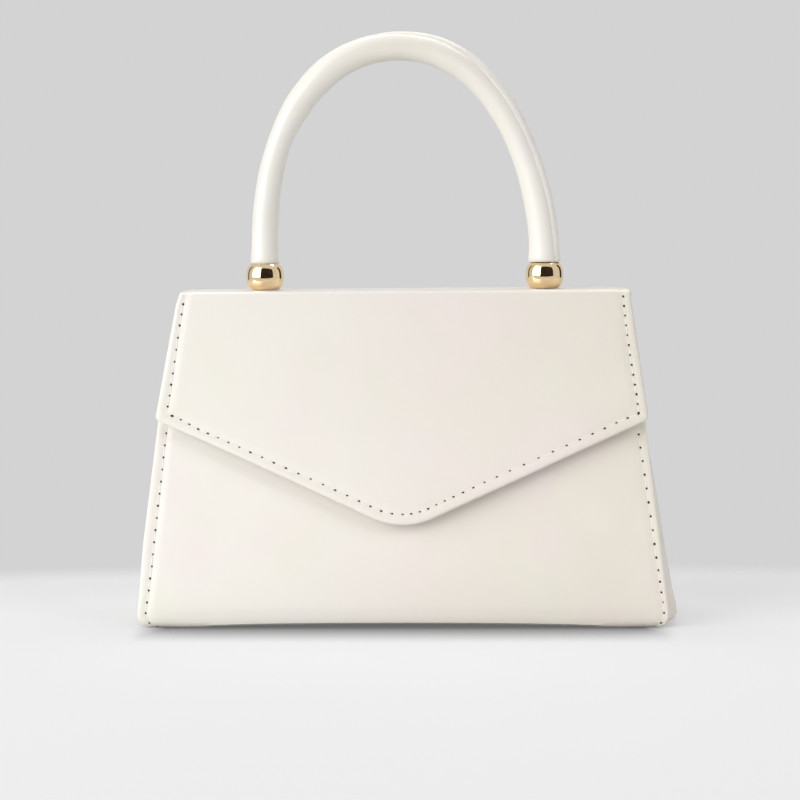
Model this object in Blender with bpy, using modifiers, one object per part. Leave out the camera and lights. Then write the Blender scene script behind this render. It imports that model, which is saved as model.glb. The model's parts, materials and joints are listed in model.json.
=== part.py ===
"""Envelope clutch with a rolled top handle: a boarded trapezoid body, a pointed flap and a magnetic snap.

Metres, +Z up. The front faces -Y, and the origin lies on the floor under the middle of the bag.
The top panel and the flap each turn about a crease, and every piece that a crease carries hangs
from an empty on that crease's axis.
"""

import math

import bmesh
import bpy
from mathutils import Matrix, Vector

MM = 0.001

# Body, outside sizes
BODY_HEIGHT = 130 * MM
BASE_DEPTH = 70 * MM
CREASE_SPACING = 34 * MM
BASE_WIDTH = 206 * MM
TOP_WIDTH = 176.4 * MM
BASE_FOLD_RADIUS = 7 * MM
CORNER_TRIM = 5 * MM
CORNER_HEIGHT = 10 * MM
CORNER_POWER = 4
MOUTH_DROP = 6.2 * MM
HEM_DEPTH = 14 * MM
HEM_INSET = 9 * MM
BASE_ARCH = 1.8 * MM
ARCH_POWER = 2.6
ARCH_FADE = 13 * MM
REST_LENGTH = 11 * MM

# Sheet materials and the clearance that the layers keep
LEATHER = 1.0 * MM
BOARD = 1.2 * MM
FLAP_BOARD = 0.8 * MM
TOP_BOARD = 1.6 * MM
LINING = 0.6 * MM
GAP = 0.25 * MM
RUNNING_GAP = 0.4 * MM
OVERRUN = 1.5 * MM
WELD = 0.005 * MM

# Side gussets
SEAM_ALLOWANCE = 3.5 * MM
GUSSET_GAP = 0.4 * MM
GUSSET_BULGE = 7.5 * MM
GUSSET_FOLD = 13 * MM
GUSSET_FAN_HEIGHT = 20 * MM
GUSSET_TOP_DROP = 2.6 * MM
BOARD_INSET = 6.8 * MM
BOARD_LIFT = 8 * MM

# Slip pocket on the back lining
POCKET_WIDTH = 118 * MM
POCKET_BOTTOM = 34 * MM
POCKET_HEIGHT = 58 * MM
POCKET_PUFF = 1.6 * MM

# Flap
FLAP_TOP_WIDTH = 177.2 * MM
FLAP_EAR_WIDTH = 189.8 * MM
FLAP_LENGTH = 89.6 * MM
FLAP_POINT_ANGLE = math.radians(24.6)
FLAP_TIP_RADIUS = 28 * MM
FLAP_EAR_RADIUS = 2.5 * MM
FLAP_BOARD_INSET = 6 * MM
FLAP_LINING_INSET = 0.6 * MM

# Handle
POST_SPACING = 110.8 * MM
HANDLE_RISE = 85.6 * MM
HANDLE_POWER = 2.1
WRAP_RADIUS = 5.4 * MM
CORE_RADIUS = 4.1 * MM
INSERT_RADIUS = 3.9 * MM
INSERT_LENGTH = 8 * MM
BEAD_RADIUS = 7.5 * MM
BEAD_HEIGHT = 10.2 * MM
SCREW_RADIUS = 1.5 * MM
SCREW_CLEARANCE = 0.3 * MM
SCREW_GRIP = 6 * MM
SCREW_HEAD_RADIUS = 3.4 * MM
SCREW_HEAD_HEIGHT = 1.4 * MM
SCREW_HEAD_FACE_SHARE = 0.8
WASHER_RADIUS = 4.6 * MM
WASHER_THICKNESS = 0.6 * MM

# Magnetic snap
SNAP_RADIUS = 7 * MM
SNAP_TIP_DISTANCE = 20 * MM
SOCKET_HEIGHT = 2.0 * MM
SOCKET_WALL = 0.5 * MM
STUD_PLATE = 0.9 * MM
STUD_RADIUS = 2.3 * MM
STUD_HEIGHT = 1.3 * MM
SOCKET_CLEARANCE = 0.7 * MM
SNAP_EDGE = 0.5 * MM
SNAP_WASHER_RADIUS = 6.3 * MM
SNAP_WASHER = 0.4 * MM
LEG_SPACING = 7 * MM
LEG_WIDTH = 3 * MM
LEG_THICKNESS = 0.3 * MM
LEG_LIP = 1.6 * MM
SNAP_GAP = 0.15 * MM
SLOT_CLEARANCE = 0.25 * MM

# Smoothness of curved pieces, in steps
ROUND_STEPS = 28
FOLD_STEPS = 6
ACROSS_STEPS = 18
ARCH_POINTS = 36
TUBE_RESOLUTION = 5
SHARP_ANGLE = math.radians(35)
GUSSET_SHARES = (0, 0.12, 0.3, 0.53, 0.77, 1)
GUSSET_FOLD_POWER = 1.6
BASE_SHARES = (-0.67, -0.33, 0, 0.33, 0.67)

# Places that follow from the sizes above
TOP_THICKNESS = LEATHER + GAP + TOP_BOARD + GAP + LINING
FLAP_THICKNESS = LEATHER + GAP + FLAP_BOARD + GAP + LINING
SNAP_STACK = GAP + SOCKET_HEIGHT + GAP + STUD_PLATE + GAP
ROLL_RADIUS = TOP_THICKNESS / 2
CREASE_HEIGHT = BODY_HEIGHT - ROLL_RADIUS
CREASE_OUT = CREASE_SPACING / 2
FOLD_OUT = BASE_DEPTH / 2 - BASE_FOLD_RADIUS
MOUTH_HEIGHT = BODY_HEIGHT - MOUTH_DROP
LINING_DEPTH = LEATHER + GAP + BOARD + GAP
BASE_HALF = BASE_WIDTH / 2 - CORNER_TRIM


def lean_of(reach):
    """The angle of a wall that passes the base fold and lies this far inside its circle at the crease."""
    in_step = FOLD_OUT - CREASE_OUT
    up_step = CREASE_HEIGHT - BASE_FOLD_RADIUS
    return math.asin(reach / math.hypot(in_step, up_step)) + math.atan2(in_step, up_step)


FRONT_LEAN = lean_of(BASE_FOLD_RADIUS - ROLL_RADIUS + FLAP_THICKNESS + SNAP_STACK)
BACK_LEAN = lean_of(BASE_FOLD_RADIUS - ROLL_RADIUS)
SNAP_DISTANCE = FLAP_LENGTH - SNAP_TIP_DISTANCE


def smooth(share):
    share = min(1, max(0, share))
    return share * share * (3 - 2 * share)


def half_width(height):
    """Half of the body's width at a height: a straight taper, trimmed round at the two base corners."""
    taper = (BASE_WIDTH - TOP_WIDTH) / 2 * height / BODY_HEIGHT
    low = min(1, max(0, 1 - height / CORNER_HEIGHT))
    return BASE_WIDTH / 2 - taper - CORNER_TRIM * low**CORNER_POWER


def arch_lift(x, height):
    """The base stands on its two ends and bows up between them."""
    across = min(1, abs(x) / (BASE_HALF - REST_LENGTH))
    return BASE_ARCH * (1 - across**ARCH_POWER) * (1 - smooth(height / ARCH_FADE))


# The body's side profile. A station is (y, z, inward y, inward z) on the outer face.
def front_station(height):
    inward = Vector((math.cos(FRONT_LEAN), -math.sin(FRONT_LEAN)))
    start = Vector((-FOLD_OUT, BASE_FOLD_RADIUS)) - inward * BASE_FOLD_RADIUS
    run = (height - start.y) / math.cos(FRONT_LEAN)
    return (start.x + run * math.sin(FRONT_LEAN), height, inward.x, inward.y)


def back_station(height):
    inward = Vector((-math.cos(BACK_LEAN), -math.sin(BACK_LEAN)))
    start = Vector((FOLD_OUT, BASE_FOLD_RADIUS)) - inward * BASE_FOLD_RADIUS
    run = (height - start.y) / math.cos(BACK_LEAN)
    return (start.x - run * math.sin(BACK_LEAN), height, inward.x, inward.y)


def fold_station(side, lean, share):
    """On the base fold: share 0 is where the wall meets it, and 1 where the base does."""
    angle = lean * (1 - share) - math.pi / 2 * share
    out = Vector((side * math.cos(angle), math.sin(angle)))
    centre = Vector((side * FOLD_OUT, BASE_FOLD_RADIUS))
    spot = centre + out * BASE_FOLD_RADIUS
    return (spot.x, spot.y, -out.x, -out.y)


def base_station(y):
    return (y, 0, 0, 1)


def fold_stations(side, lean):
    return [fold_station(side, lean, step / FOLD_STEPS) for step in range(FOLD_STEPS + 1)]


def body_path(front_heights, back_heights):
    """Stations from the front's top, round under the base, to the back's top."""
    front = [front_station(height) for height in front_heights]
    back = [back_station(height) for height in back_heights]
    base = [base_station(FOLD_OUT * share) for share in BASE_SHARES]
    return front + fold_stations(-1, FRONT_LEAN) + base + fold_stations(1, BACK_LEAN)[::-1] + back


def hem_stations():
    """The front's top edge: the leather turns in over its board and runs down inside."""
    y, z, in_y, in_z = front_station(MOUTH_HEIGHT)
    inward = Vector((in_y, in_z))
    up = Vector((-in_z, in_y))
    radius = LEATHER + GAP + BOARD / 2
    top = Vector((y, z)) + inward * radius
    stations = []
    for step in range(FOLD_STEPS + 1):
        angle = math.pi * step / FOLD_STEPS
        out = -inward * math.cos(angle) + up * math.sin(angle)
        spot = top + out * radius
        stations.append((spot.x, spot.y, -out.x, -out.y))
    low = top + inward * radius - up * HEM_DEPTH
    stations.append((low.x, low.y, -inward.x, -inward.y))
    return stations[::-1]


# Blender helpers
def clear_scene():
    for old in list(bpy.data.objects):
        bpy.data.objects.remove(old)


def collection(name):
    made = bpy.data.collections.new(name)
    bpy.context.scene.collection.children.link(made)
    return made


def material(name, colour, roughness, metallic=0.0):
    made = bpy.data.materials.new(name)
    made.use_nodes = True
    shader = made.node_tree.nodes["Principled BSDF"]
    shader.inputs["Base Color"].default_value = (*colour, 1)
    shader.inputs["Roughness"].default_value = roughness
    shader.inputs["Metallic"].default_value = metallic
    return made


def add(name, mesh, finish, parent=None):
    """An object of its own for one piece. Its mesh is in its parent's own frame."""
    if finish.name not in mesh.materials:
        mesh.materials.append(finish)
    mesh.shade_smooth()
    mesh.set_sharp_from_angle(angle=SHARP_ANGLE)
    made = bpy.data.objects.new(name, mesh)
    PARTS.objects.link(made)
    made.parent = parent
    return made


def add_cutter(name, mesh, parent=None):
    made = bpy.data.objects.new(name, mesh)
    CUTTERS.objects.link(made)
    made.parent = parent
    made.hide_render = True
    made.display_type = "WIRE"
    return made


def cut(piece, cutter, operation="DIFFERENCE"):
    change = piece.modifiers.new(operation.title(), "BOOLEAN")
    change.operation = operation
    change.object = cutter


def thicken(piece, thickness):
    shell = piece.modifiers.new("Thickness", "SOLIDIFY")
    shell.thickness = thickness
    shell.offset = -1
    shell.use_even_offset = True


def mesh_from(shape, name):
    mesh = bpy.data.meshes.new(name)
    shape.to_mesh(mesh)
    shape.free()
    return mesh


def grid_shape(rows):
    """A bmesh sheet through rows of points. Its faces look towards the row's right as it runs on."""
    shape = bmesh.new()
    made = [[shape.verts.new(point) for point in row] for row in rows]
    for low, high in zip(made, made[1:]):
        for a, b, c, d in zip(low, low[1:], high[1:], high):
            shape.faces.new((a, b, c, d))
    return shape


def pushed(shape, distance):
    """Moves a sheet along its normals by an even distance."""
    shape.normal_update()
    moves = [(v, v.normal * v.calc_shell_factor() * distance) for v in shape.verts]
    for vert, move in moves:
        vert.co += move
    return shape


def turned(name, profile, steps=ROUND_STEPS, closed=False):
    """The mesh of a profile of (radius, height) points turned about Z, from a Screw modifier."""
    shape = bmesh.new()
    verts = [shape.verts.new((radius, 0, height)) for radius, height in profile]
    for a, b in zip(verts, verts[1:]):
        shape.edges.new((a, b))
    if closed:
        shape.edges.new((verts[-1], verts[0]))
    source = bpy.data.objects.new(name, mesh_from(shape, name))
    bpy.context.scene.collection.objects.link(source)
    screw = source.modifiers.new("Turn", "SCREW")
    screw.steps = screw.render_steps = steps
    screw.use_merge_vertices = True
    screw.merge_threshold = WELD
    return baked(source)


def baked(source):
    """The evaluated mesh of a helper object, which is then removed."""
    bpy.context.view_layer.update()
    evaluated = source.evaluated_get(bpy.context.evaluated_depsgraph_get())
    mesh = bpy.data.meshes.new_from_object(evaluated)
    shape = bmesh.new()
    shape.from_mesh(mesh)
    bmesh.ops.remove_doubles(shape, verts=shape.verts, dist=WELD)
    shape.to_mesh(mesh)
    shape.free()
    bpy.data.objects.remove(source)
    return mesh


def plate(name, outline, thickness):
    """The mesh of a flat outline in XY, centred on Z, from a filled 2D curve."""
    curve = bpy.data.curves.new(name, "CURVE")
    curve.dimensions = "2D"
    curve.fill_mode = "BOTH"
    curve.extrude = thickness / 2
    spline = curve.splines.new("POLY")
    spline.points.add(len(outline) - 1)
    for point, (x, y) in zip(spline.points, outline):
        point.co = (x, y, 0, 1)
    spline.use_cyclic_u = True
    source = bpy.data.objects.new(name, curve)
    bpy.context.scene.collection.objects.link(source)
    return baked(source)


def tube_curve(name, points, radius, caps):
    curve = bpy.data.curves.new(name, "CURVE")
    curve.dimensions = "3D"
    curve.bevel_depth = radius
    curve.bevel_resolution = TUBE_RESOLUTION
    curve.use_fill_caps = caps
    spline = curve.splines.new("POLY")
    spline.points.add(len(points) - 1)
    for point, place in zip(spline.points, points):
        point.co = (*place, 1)
    source = bpy.data.objects.new(name, curve)
    bpy.context.scene.collection.objects.link(source)
    return baked(source)


def box_mesh(name, size, centre):
    shape = bmesh.new()
    bmesh.ops.create_cube(shape, size=1, matrix=Matrix.Translation(centre) @ Matrix.Diagonal((*size, 1)))
    return mesh_from(shape, name)


def disc_mesh(name, radius, low, high, centre=(0, 0)):
    shape = bmesh.new()
    place = Matrix.Translation((centre[0], centre[1], (low + high) / 2))
    bmesh.ops.create_cone(
        shape,
        cap_ends=True,
        segments=ROUND_STEPS,
        radius1=radius,
        radius2=radius,
        depth=high - low,
        matrix=place,
    )
    return mesh_from(shape, name)


# Body
def body_sheet(stations, depth, inset):
    """A sheet that follows stations of the body at a depth under the outer face."""
    rows = []
    for y, z, in_y, in_z in stations:
        half = half_width(z) - inset
        row = []
        for step in range(ACROSS_STEPS + 1):
            x = half * (1 - 2 * step / ACROSS_STEPS)
            row.append(Vector((x, y + in_y * depth, z + in_z * depth + arch_lift(x, z))))
        rows.append(row)
    return grid_shape(rows)


def make_body_outer():
    """Front, base and back in one piece of leather, with the hem turned in at the mouth."""
    wall_top = CREASE_HEIGHT - ROLL_RADIUS - GAP
    front_heights = (MOUTH_HEIGHT - HEM_DEPTH, ARCH_FADE)
    back_heights = (ARCH_FADE, wall_top)
    stations = hem_stations() + body_path(front_heights, back_heights)
    shape = body_sheet(stations, 0, 0)
    hem_rows = FOLD_STEPS // 2 + 1
    shape.verts.ensure_lookup_table()
    for vert in shape.verts[: hem_rows * (ACROSS_STEPS + 1)]:
        vert.co.x *= 1 - HEM_INSET / half_width(MOUTH_HEIGHT)
    piece = add("body_outer", mesh_from(shape, "body_outer"), IVORY)
    thicken(piece, LEATHER)
    return piece


def make_board(name, stations):
    shape = body_sheet(stations, LEATHER + GAP, BOARD_INSET)
    piece = add(name, mesh_from(shape, name), GREYBOARD)
    thicken(piece, BOARD)
    return piece


def make_body_boards():
    lowest = BASE_FOLD_RADIUS + BOARD_LIFT
    front_top = MOUTH_HEIGHT - GAP
    back_top = CREASE_HEIGHT - ROLL_RADIUS - GAP
    front = make_board("front_board", [front_station(front_top), front_station(lowest)])
    make_board("back_board", [back_station(lowest), back_station(back_top)])
    make_board("base_board", [base_station(-FOLD_OUT), base_station(0), base_station(FOLD_OUT)])
    return front


def make_body_lining():
    """The lining's front, base and back, under the hem at the front and up to the crease at the back."""
    front_heights = (MOUTH_HEIGHT - HEM_DEPTH - RUNNING_GAP - LEATHER, ARCH_FADE)
    back_heights = (ARCH_FADE, CREASE_HEIGHT - ROLL_RADIUS - GAP)
    shape = body_sheet(body_path(front_heights, back_heights), LINING_DEPTH, BOARD_INSET)
    piece = add("body_lining", mesh_from(shape, "body_lining"), LINING_CLOTH)
    thicken(piece, LINING)


def make_pocket():
    """A slip pocket, sewn to the back lining on three sides and open at the top."""
    depth = LINING_DEPTH + LINING + GAP
    rows = []
    columns = ACROSS_STEPS // 2
    for step in range(FOLD_STEPS + 1):
        up = step / FOLD_STEPS
        y, z, in_y, in_z = back_station(POCKET_BOTTOM + POCKET_HEIGHT * up)
        row = []
        for column in range(columns + 1):
            across = 1 - 2 * column / columns
            puff = POCKET_PUFF * (1 - across**4) * math.sin(math.pi / 2 * up)
            reach = depth + puff
            row.append(Vector((POCKET_WIDTH / 2 * across, y + in_y * reach, z + in_z * reach)))
        rows.append(row)
    piece = add("slip_pocket", mesh_from(grid_shape(rows), "slip_pocket"), LINING_CLOTH)
    thicken(piece, LINING)


def gusset_rows(side, first_share, flange):
    """Rows of gusset points from the seam in to the centre crease, one row for each station of the seam."""
    top = MOUTH_HEIGHT - GUSSET_TOP_DROP
    span = top - GUSSET_FAN_HEIGHT
    heights = [top - span * step / FOLD_STEPS for step in range(FOLD_STEPS + 1)]
    heights += [(GUSSET_FAN_HEIGHT + ARCH_FADE) / 2, ARCH_FADE]
    stations = body_path(heights, heights[::-1])
    depth = LEATHER + GUSSET_GAP + LEATHER
    rows = []
    for y, z, in_y, in_z in stations:
        crease_z = max(z, GUSSET_FAN_HEIGHT)
        front, back = front_station(crease_z), back_station(crease_z)
        up = (crease_z - GUSSET_FAN_HEIGHT) / span
        bend = GUSSET_BULGE - (GUSSET_BULGE + GUSSET_FOLD) * up * up
        start = Vector((half_width(z) - SEAM_ALLOWANCE, y + in_y * depth, z + in_z * depth))
        crease = Vector((half_width(crease_z) - SEAM_ALLOWANCE + bend, (front[0] + back[0]) / 2, crease_z))
        row = [start + Vector((SEAM_ALLOWANCE, 0, 0))] if flange else []
        for share in GUSSET_SHARES[first_share:]:
            curve = math.sin(math.pi / 2 * share) * (1 - up) + share**GUSSET_FOLD_POWER * up
            point = start.lerp(crease, share)
            point.x = start.x + (crease.x - start.x) * curve
            row.append(point)
        rows.append(row)
    for row in rows:
        for point in row:
            point.z += arch_lift(point.x, point.z)
            point.x *= side
    return rows if side < 0 else [row[::-1] for row in rows]


def make_gussets():
    for side, word in ((-1, "left"), (1, "right")):
        name = "gusset_" + word
        shape = grid_shape(gusset_rows(side, 0, True))
        bmesh.ops.remove_doubles(shape, verts=shape.verts, dist=WELD)
        piece = add(name, mesh_from(shape, name), IVORY)
        thicken(piece, LEATHER)
        name = "gusset_lining_" + word
        shape = grid_shape(gusset_rows(side, 1, False))
        bmesh.ops.remove_doubles(shape, verts=shape.verts, dist=WELD)
        shape = pushed(shape, -(LEATHER + GUSSET_GAP))
        piece = add(name, mesh_from(shape, name), LINING_CLOTH)
        thicken(piece, LINING)


# Top panel, which turns about the back crease
def make_top_panel(hinge):
    """Leather rolled round both creases, over a board, with a lining under it."""
    half = FLAP_TOP_WIDTH / 2
    section = []
    for step in range(FOLD_STEPS + 1):
        angle = math.pi * step / FOLD_STEPS - math.pi / 2
        section.append((ROLL_RADIUS * math.cos(angle), ROLL_RADIUS * math.sin(angle)))
    section += [(-CREASE_SPACING - y, z) for y, z in section[::-1]]
    rows = [[Vector((x, y, z)) for x in (half, -half)] for y, z in section]
    outer = add("top_outer", mesh_from(grid_shape(rows), "top_outer"), IVORY, hinge)
    thicken(outer, LEATHER)
    board_top = ROLL_RADIUS - LEATHER - GAP
    middle = -CREASE_SPACING / 2
    board_size = (2 * (half - FLAP_BOARD_INSET), CREASE_SPACING - 2 * RUNNING_GAP, TOP_BOARD)
    board_mesh = box_mesh("top_board", board_size, (0, middle, board_top - TOP_BOARD / 2))
    board = add("top_board", board_mesh, GREYBOARD, hinge)
    lining_size = (2 * (half - FLAP_LINING_INSET), CREASE_SPACING - 2 * GAP, LINING)
    lining_top = board_top - TOP_BOARD - GAP
    lining_mesh = box_mesh("top_lining", lining_size, (0, middle, lining_top - LINING / 2))
    lining = add("top_lining", lining_mesh, LINING_CLOTH, hinge)
    post_hole = SCREW_RADIUS + SCREW_CLEARANCE
    for side, word in ((-1, "left"), (1, "right")):
        place = (side * POST_SPACING / 2, middle)
        low = board_top - TOP_BOARD - OVERRUN
        hole = disc_mesh("post_hole_" + word, post_hole, low, ROLL_RADIUS + OVERRUN, place)
        hole_cutter = add_cutter("post_hole_" + word, hole, hinge)
        cut(outer, hole_cutter)
        cut(board, hole_cutter)
        wide = WASHER_RADIUS + RUNNING_GAP
        eye = disc_mesh("washer_hole_" + word, wide, low - OVERRUN, lining_top + GAP / 2, place)
        cut(lining, add_cutter("washer_hole_" + word, eye, hinge))


def bead_profile():
    """A ball with a flat at each end and a bore through it, from the top of its outer side down."""
    half = BEAD_HEIGHT / 2
    edge = math.asin(half / BEAD_RADIUS)
    steps = 2 * FOLD_STEPS
    ball = []
    for step in range(steps + 1):
        angle = edge * (1 - 2 * step / steps)
        ball.append((BEAD_RADIUS * math.cos(angle), BEAD_RADIUS * math.sin(angle)))
    bore = SCREW_RADIUS + SCREW_CLEARANCE
    return [(bore, half)] + ball + [(bore, -half)]


def ring_profile(outer, inner, low, high):
    return [(inner, high), (outer, high), (outer, low), (inner, low)]


def make_posts(hinge):
    """What holds each handle end: screw and washer under the panel, bead on it, insert in the handle."""
    middle = -CREASE_SPACING / 2
    bore = SCREW_RADIUS + SCREW_CLEARANCE
    bead_low = ROLL_RADIUS + GAP
    insert_low = bead_low + BEAD_HEIGHT + GAP
    washer_top = ROLL_RADIUS - LEATHER - GAP - TOP_BOARD - GAP
    head_top = washer_top - WASHER_THICKNESS - GAP
    screw_top = insert_low + SCREW_GRIP
    head_low = head_top - SCREW_HEAD_HEIGHT
    screw = [
        (0, screw_top),
        (SCREW_RADIUS, screw_top),
        (SCREW_RADIUS, head_top),
        (SCREW_HEAD_RADIUS, head_top),
        (SCREW_HEAD_RADIUS, (head_top + head_low) / 2),
        (SCREW_HEAD_RADIUS * SCREW_HEAD_FACE_SHARE, head_low),
        (0, head_low),
    ]
    washer = ring_profile(WASHER_RADIUS, bore, washer_top - WASHER_THICKNESS, washer_top)
    insert = ring_profile(INSERT_RADIUS, bore, insert_low, insert_low + INSERT_LENGTH)
    bead = [(radius, height + bead_low + BEAD_HEIGHT / 2) for radius, height in bead_profile()]
    meshes = {
        "post_bead_": (turned("bead", bead, closed=True), GOLD),
        "post_screw_": (turned("screw", screw), STEEL),
        "post_washer_": (turned("washer", washer, closed=True), STEEL),
        "handle_insert_": (turned("insert", insert, closed=True), STEEL),
    }
    for side, word in ((-1, "left"), (1, "right")):
        for name, (mesh, finish) in meshes.items():
            piece = add(name + word, mesh, finish, hinge)
            piece.location = (side * POST_SPACING / 2, middle, 0)


def handle_points(first_rise):
    """The handle's centreline: a superellipse that stands on the beads, from this rise above its foot."""
    foot = ROLL_RADIUS + GAP + BEAD_HEIGHT + GAP
    start = math.asin((first_rise / HANDLE_RISE) ** (HANDLE_POWER / 2))
    points = []
    for step in range(ARCH_POINTS + 1):
        angle = start + (math.pi - 2 * start) * step / ARCH_POINTS
        across, up = math.cos(angle), math.sin(angle)
        x = math.copysign(abs(across) ** (2 / HANDLE_POWER), across) * POST_SPACING / 2
        z = foot + abs(up) ** (2 / HANDLE_POWER) * HANDLE_RISE
        points.append((x, -CREASE_SPACING / 2, z))
    return points


def make_handle(hinge):
    """A leather sleeve over a round core. The core stops at the inserts."""
    wrap_mesh = tube_curve("handle_wrap", handle_points(0), WRAP_RADIUS, False)
    thicken(add("handle_wrap", wrap_mesh, IVORY, hinge), LEATHER)
    core_mesh = tube_curve("handle_core", handle_points(INSERT_LENGTH + GAP), CORE_RADIUS, True)
    add("handle_core", core_mesh, CORE_PLASTIC, hinge)


# Flap, which turns about the front crease. Its own frame has x across and y down the flap.
def inset_corners(corners, inset):
    """The corners of a convex outline, counterclockwise, with every side moved in by the inset."""
    moved = []
    for before, here, after in zip(corners[-1:] + corners[:-1], corners, corners[1:] + corners[:1]):
        first, second = (here - before).normalized(), (after - here).normalized()
        first_in, second_in = Vector((-first.y, first.x)), Vector((-second.y, second.x))
        shift = (first_in + second_in) * inset / (1 + first_in.dot(second_in))
        moved.append(here + shift)
    return moved


def rounded(corners, radii, steps):
    """An outline through these corners, each rounded with its own radius."""
    outline = []
    befores, afters = corners[-1:] + corners[:-1], corners[1:] + corners[:1]
    for before, here, after, radius in zip(befores, corners, afters, radii):
        to_before, to_after = (before - here).normalized(), (after - here).normalized()
        half_angle = to_before.angle(to_after) / 2
        if radius <= 0:
            outline.append(here)
            continue
        centre = here + (to_before + to_after).normalized() * radius / math.sin(half_angle)
        first = here + to_before * radius / math.tan(half_angle) - centre
        turn = math.pi - 2 * half_angle
        for step in range(steps + 1):
            outline.append(centre + Matrix.Rotation(turn * step / steps, 2) @ first)
    return outline


def flap_corners():
    """Sharp corners of the flap, counterclockwise in x and y, with y running down from the crease axis."""
    top = ROLL_RADIUS + RUNNING_GAP
    half_top, half_ear = FLAP_TOP_WIDTH / 2, FLAP_EAR_WIDTH / 2
    point = FLAP_LENGTH + FLAP_TIP_RADIUS * (1 / math.cos(FLAP_POINT_ANGLE) - 1)
    ear = point - half_ear * math.tan(FLAP_POINT_ANGLE)
    return [
        Vector((-half_top, top)),
        Vector((half_top, top)),
        Vector((half_ear, ear)),
        Vector((0, point)),
        Vector((-half_ear, ear)),
    ]


def flap_outline(inset):
    ear_radius = max(FLAP_EAR_RADIUS - inset, 0)
    radii = (0, 0, ear_radius, FLAP_TIP_RADIUS - inset, ear_radius)
    return rounded(inset_corners(flap_corners(), inset), radii, 2 * FOLD_STEPS)


def flap_layer(name, inset, depth, thickness, finish, hinge):
    """A flat layer of the flap at a depth under its outer face."""
    mesh = plate(name, flap_outline(inset), thickness)
    mesh.transform(Matrix.Translation((0, 0, ROLL_RADIUS - depth - thickness / 2)))
    return add(name, mesh, finish, hinge)


def make_flap(hinge):
    board_depth = LEATHER + GAP
    lining_depth = board_depth + FLAP_BOARD + GAP
    flap_layer("flap_outer", 0, 0, LEATHER, IVORY, hinge)
    board = flap_layer("flap_board", FLAP_BOARD_INSET, board_depth, FLAP_BOARD, GREYBOARD, hinge)
    lining = flap_layer("flap_lining", FLAP_LINING_INSET, lining_depth, LINING, LINING_CLOTH, hinge)
    return board, lining


# Magnetic snap. Its own frame has +Z out of the face that it is fixed to, and that face at z 0.
def snap_leg(name, side, reach):
    """A leg that runs back through the sheet and folds out over the washer."""
    root = SNAP_GAP + SNAP_EDGE
    outline = [
        (0, root),
        (0, -reach),
        (LEG_LIP, -reach),
        (LEG_LIP, LEG_THICKNESS - reach),
        (LEG_THICKNESS, LEG_THICKNESS - reach),
        (LEG_THICKNESS, root),
    ]
    if side < 0:
        outline = [(-x, z) for x, z in outline[::-1]]
    mesh = plate(name, outline, LEG_WIDTH)
    out = side * (LEG_SPACING - LEG_THICKNESS) / 2
    mesh.transform(Matrix.Translation((out, 0, 0)) @ Matrix.Rotation(math.pi / 2, 4, "X"))
    return mesh


def snap_half(name, profile, sheet, frame):
    """One half of the snap with its two legs, and the washer that the legs hold behind the sheet."""
    piece = add(name, turned(name, profile), GOLD, frame)
    washer_top = -(sheet + SNAP_GAP)
    washer_low = washer_top - SNAP_WASHER
    reach = SNAP_GAP + LEG_THICKNESS - washer_low
    washer_mesh = disc_mesh(name + "_washer", SNAP_WASHER_RADIUS, washer_low, washer_top)
    washer = add(name + "_washer", washer_mesh, STEEL, frame)
    slots = []
    for side, word in ((-1, "left"), (1, "right")):
        leg = add_cutter(f"{name}_leg_{word}", snap_leg(name, side, reach), frame)
        cut(piece, leg, "UNION")
        slot_thickness, slot_width = LEG_THICKNESS + 2 * SLOT_CLEARANCE, LEG_WIDTH + 2 * SLOT_CLEARANCE
        slot_size = (slot_thickness, slot_width, 2 * (reach + OVERRUN))
        slot_mesh = box_mesh("slot", slot_size, (side * LEG_SPACING / 2, 0, 0))
        slot = add_cutter(f"{name}_slot_{word}", slot_mesh, frame)
        cut(washer, slot)
        slots.append(slot)
    return slots


def socket_profile():
    """A cup with a lip over its magnet, which leaves a hole for the stud."""
    low, high = SNAP_GAP, SNAP_GAP + SOCKET_HEIGHT
    hole = STUD_RADIUS + SOCKET_CLEARANCE
    inside = SNAP_RADIUS - SOCKET_WALL
    return [
        (0, low + SOCKET_WALL),
        (inside, low + SOCKET_WALL),
        (inside, high - SOCKET_WALL),
        (hole, high - SOCKET_WALL),
        (hole, high),
        (SNAP_RADIUS - SNAP_EDGE, high),
        (SNAP_RADIUS, high - SNAP_EDGE),
        (SNAP_RADIUS, low),
        (0, low),
    ]


def magnet_profile():
    low = SNAP_GAP + SOCKET_WALL + SNAP_GAP
    high = SNAP_GAP + SOCKET_HEIGHT - SOCKET_WALL - SNAP_GAP
    inner = STUD_RADIUS + SOCKET_CLEARANCE
    return ring_profile(SNAP_RADIUS - SOCKET_WALL - SNAP_GAP, inner, low, high)


def stud_profile():
    low, high = SNAP_GAP, SNAP_GAP + STUD_PLATE
    tip = high + STUD_HEIGHT
    return [
        (0, tip),
        (STUD_RADIUS - SNAP_EDGE, tip),
        (STUD_RADIUS, tip - SNAP_EDGE),
        (STUD_RADIUS, high),
        (SNAP_RADIUS - SNAP_EDGE, high),
        (SNAP_RADIUS, high - SNAP_EDGE),
        (SNAP_RADIUS, low),
        (0, low),
    ]


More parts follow.
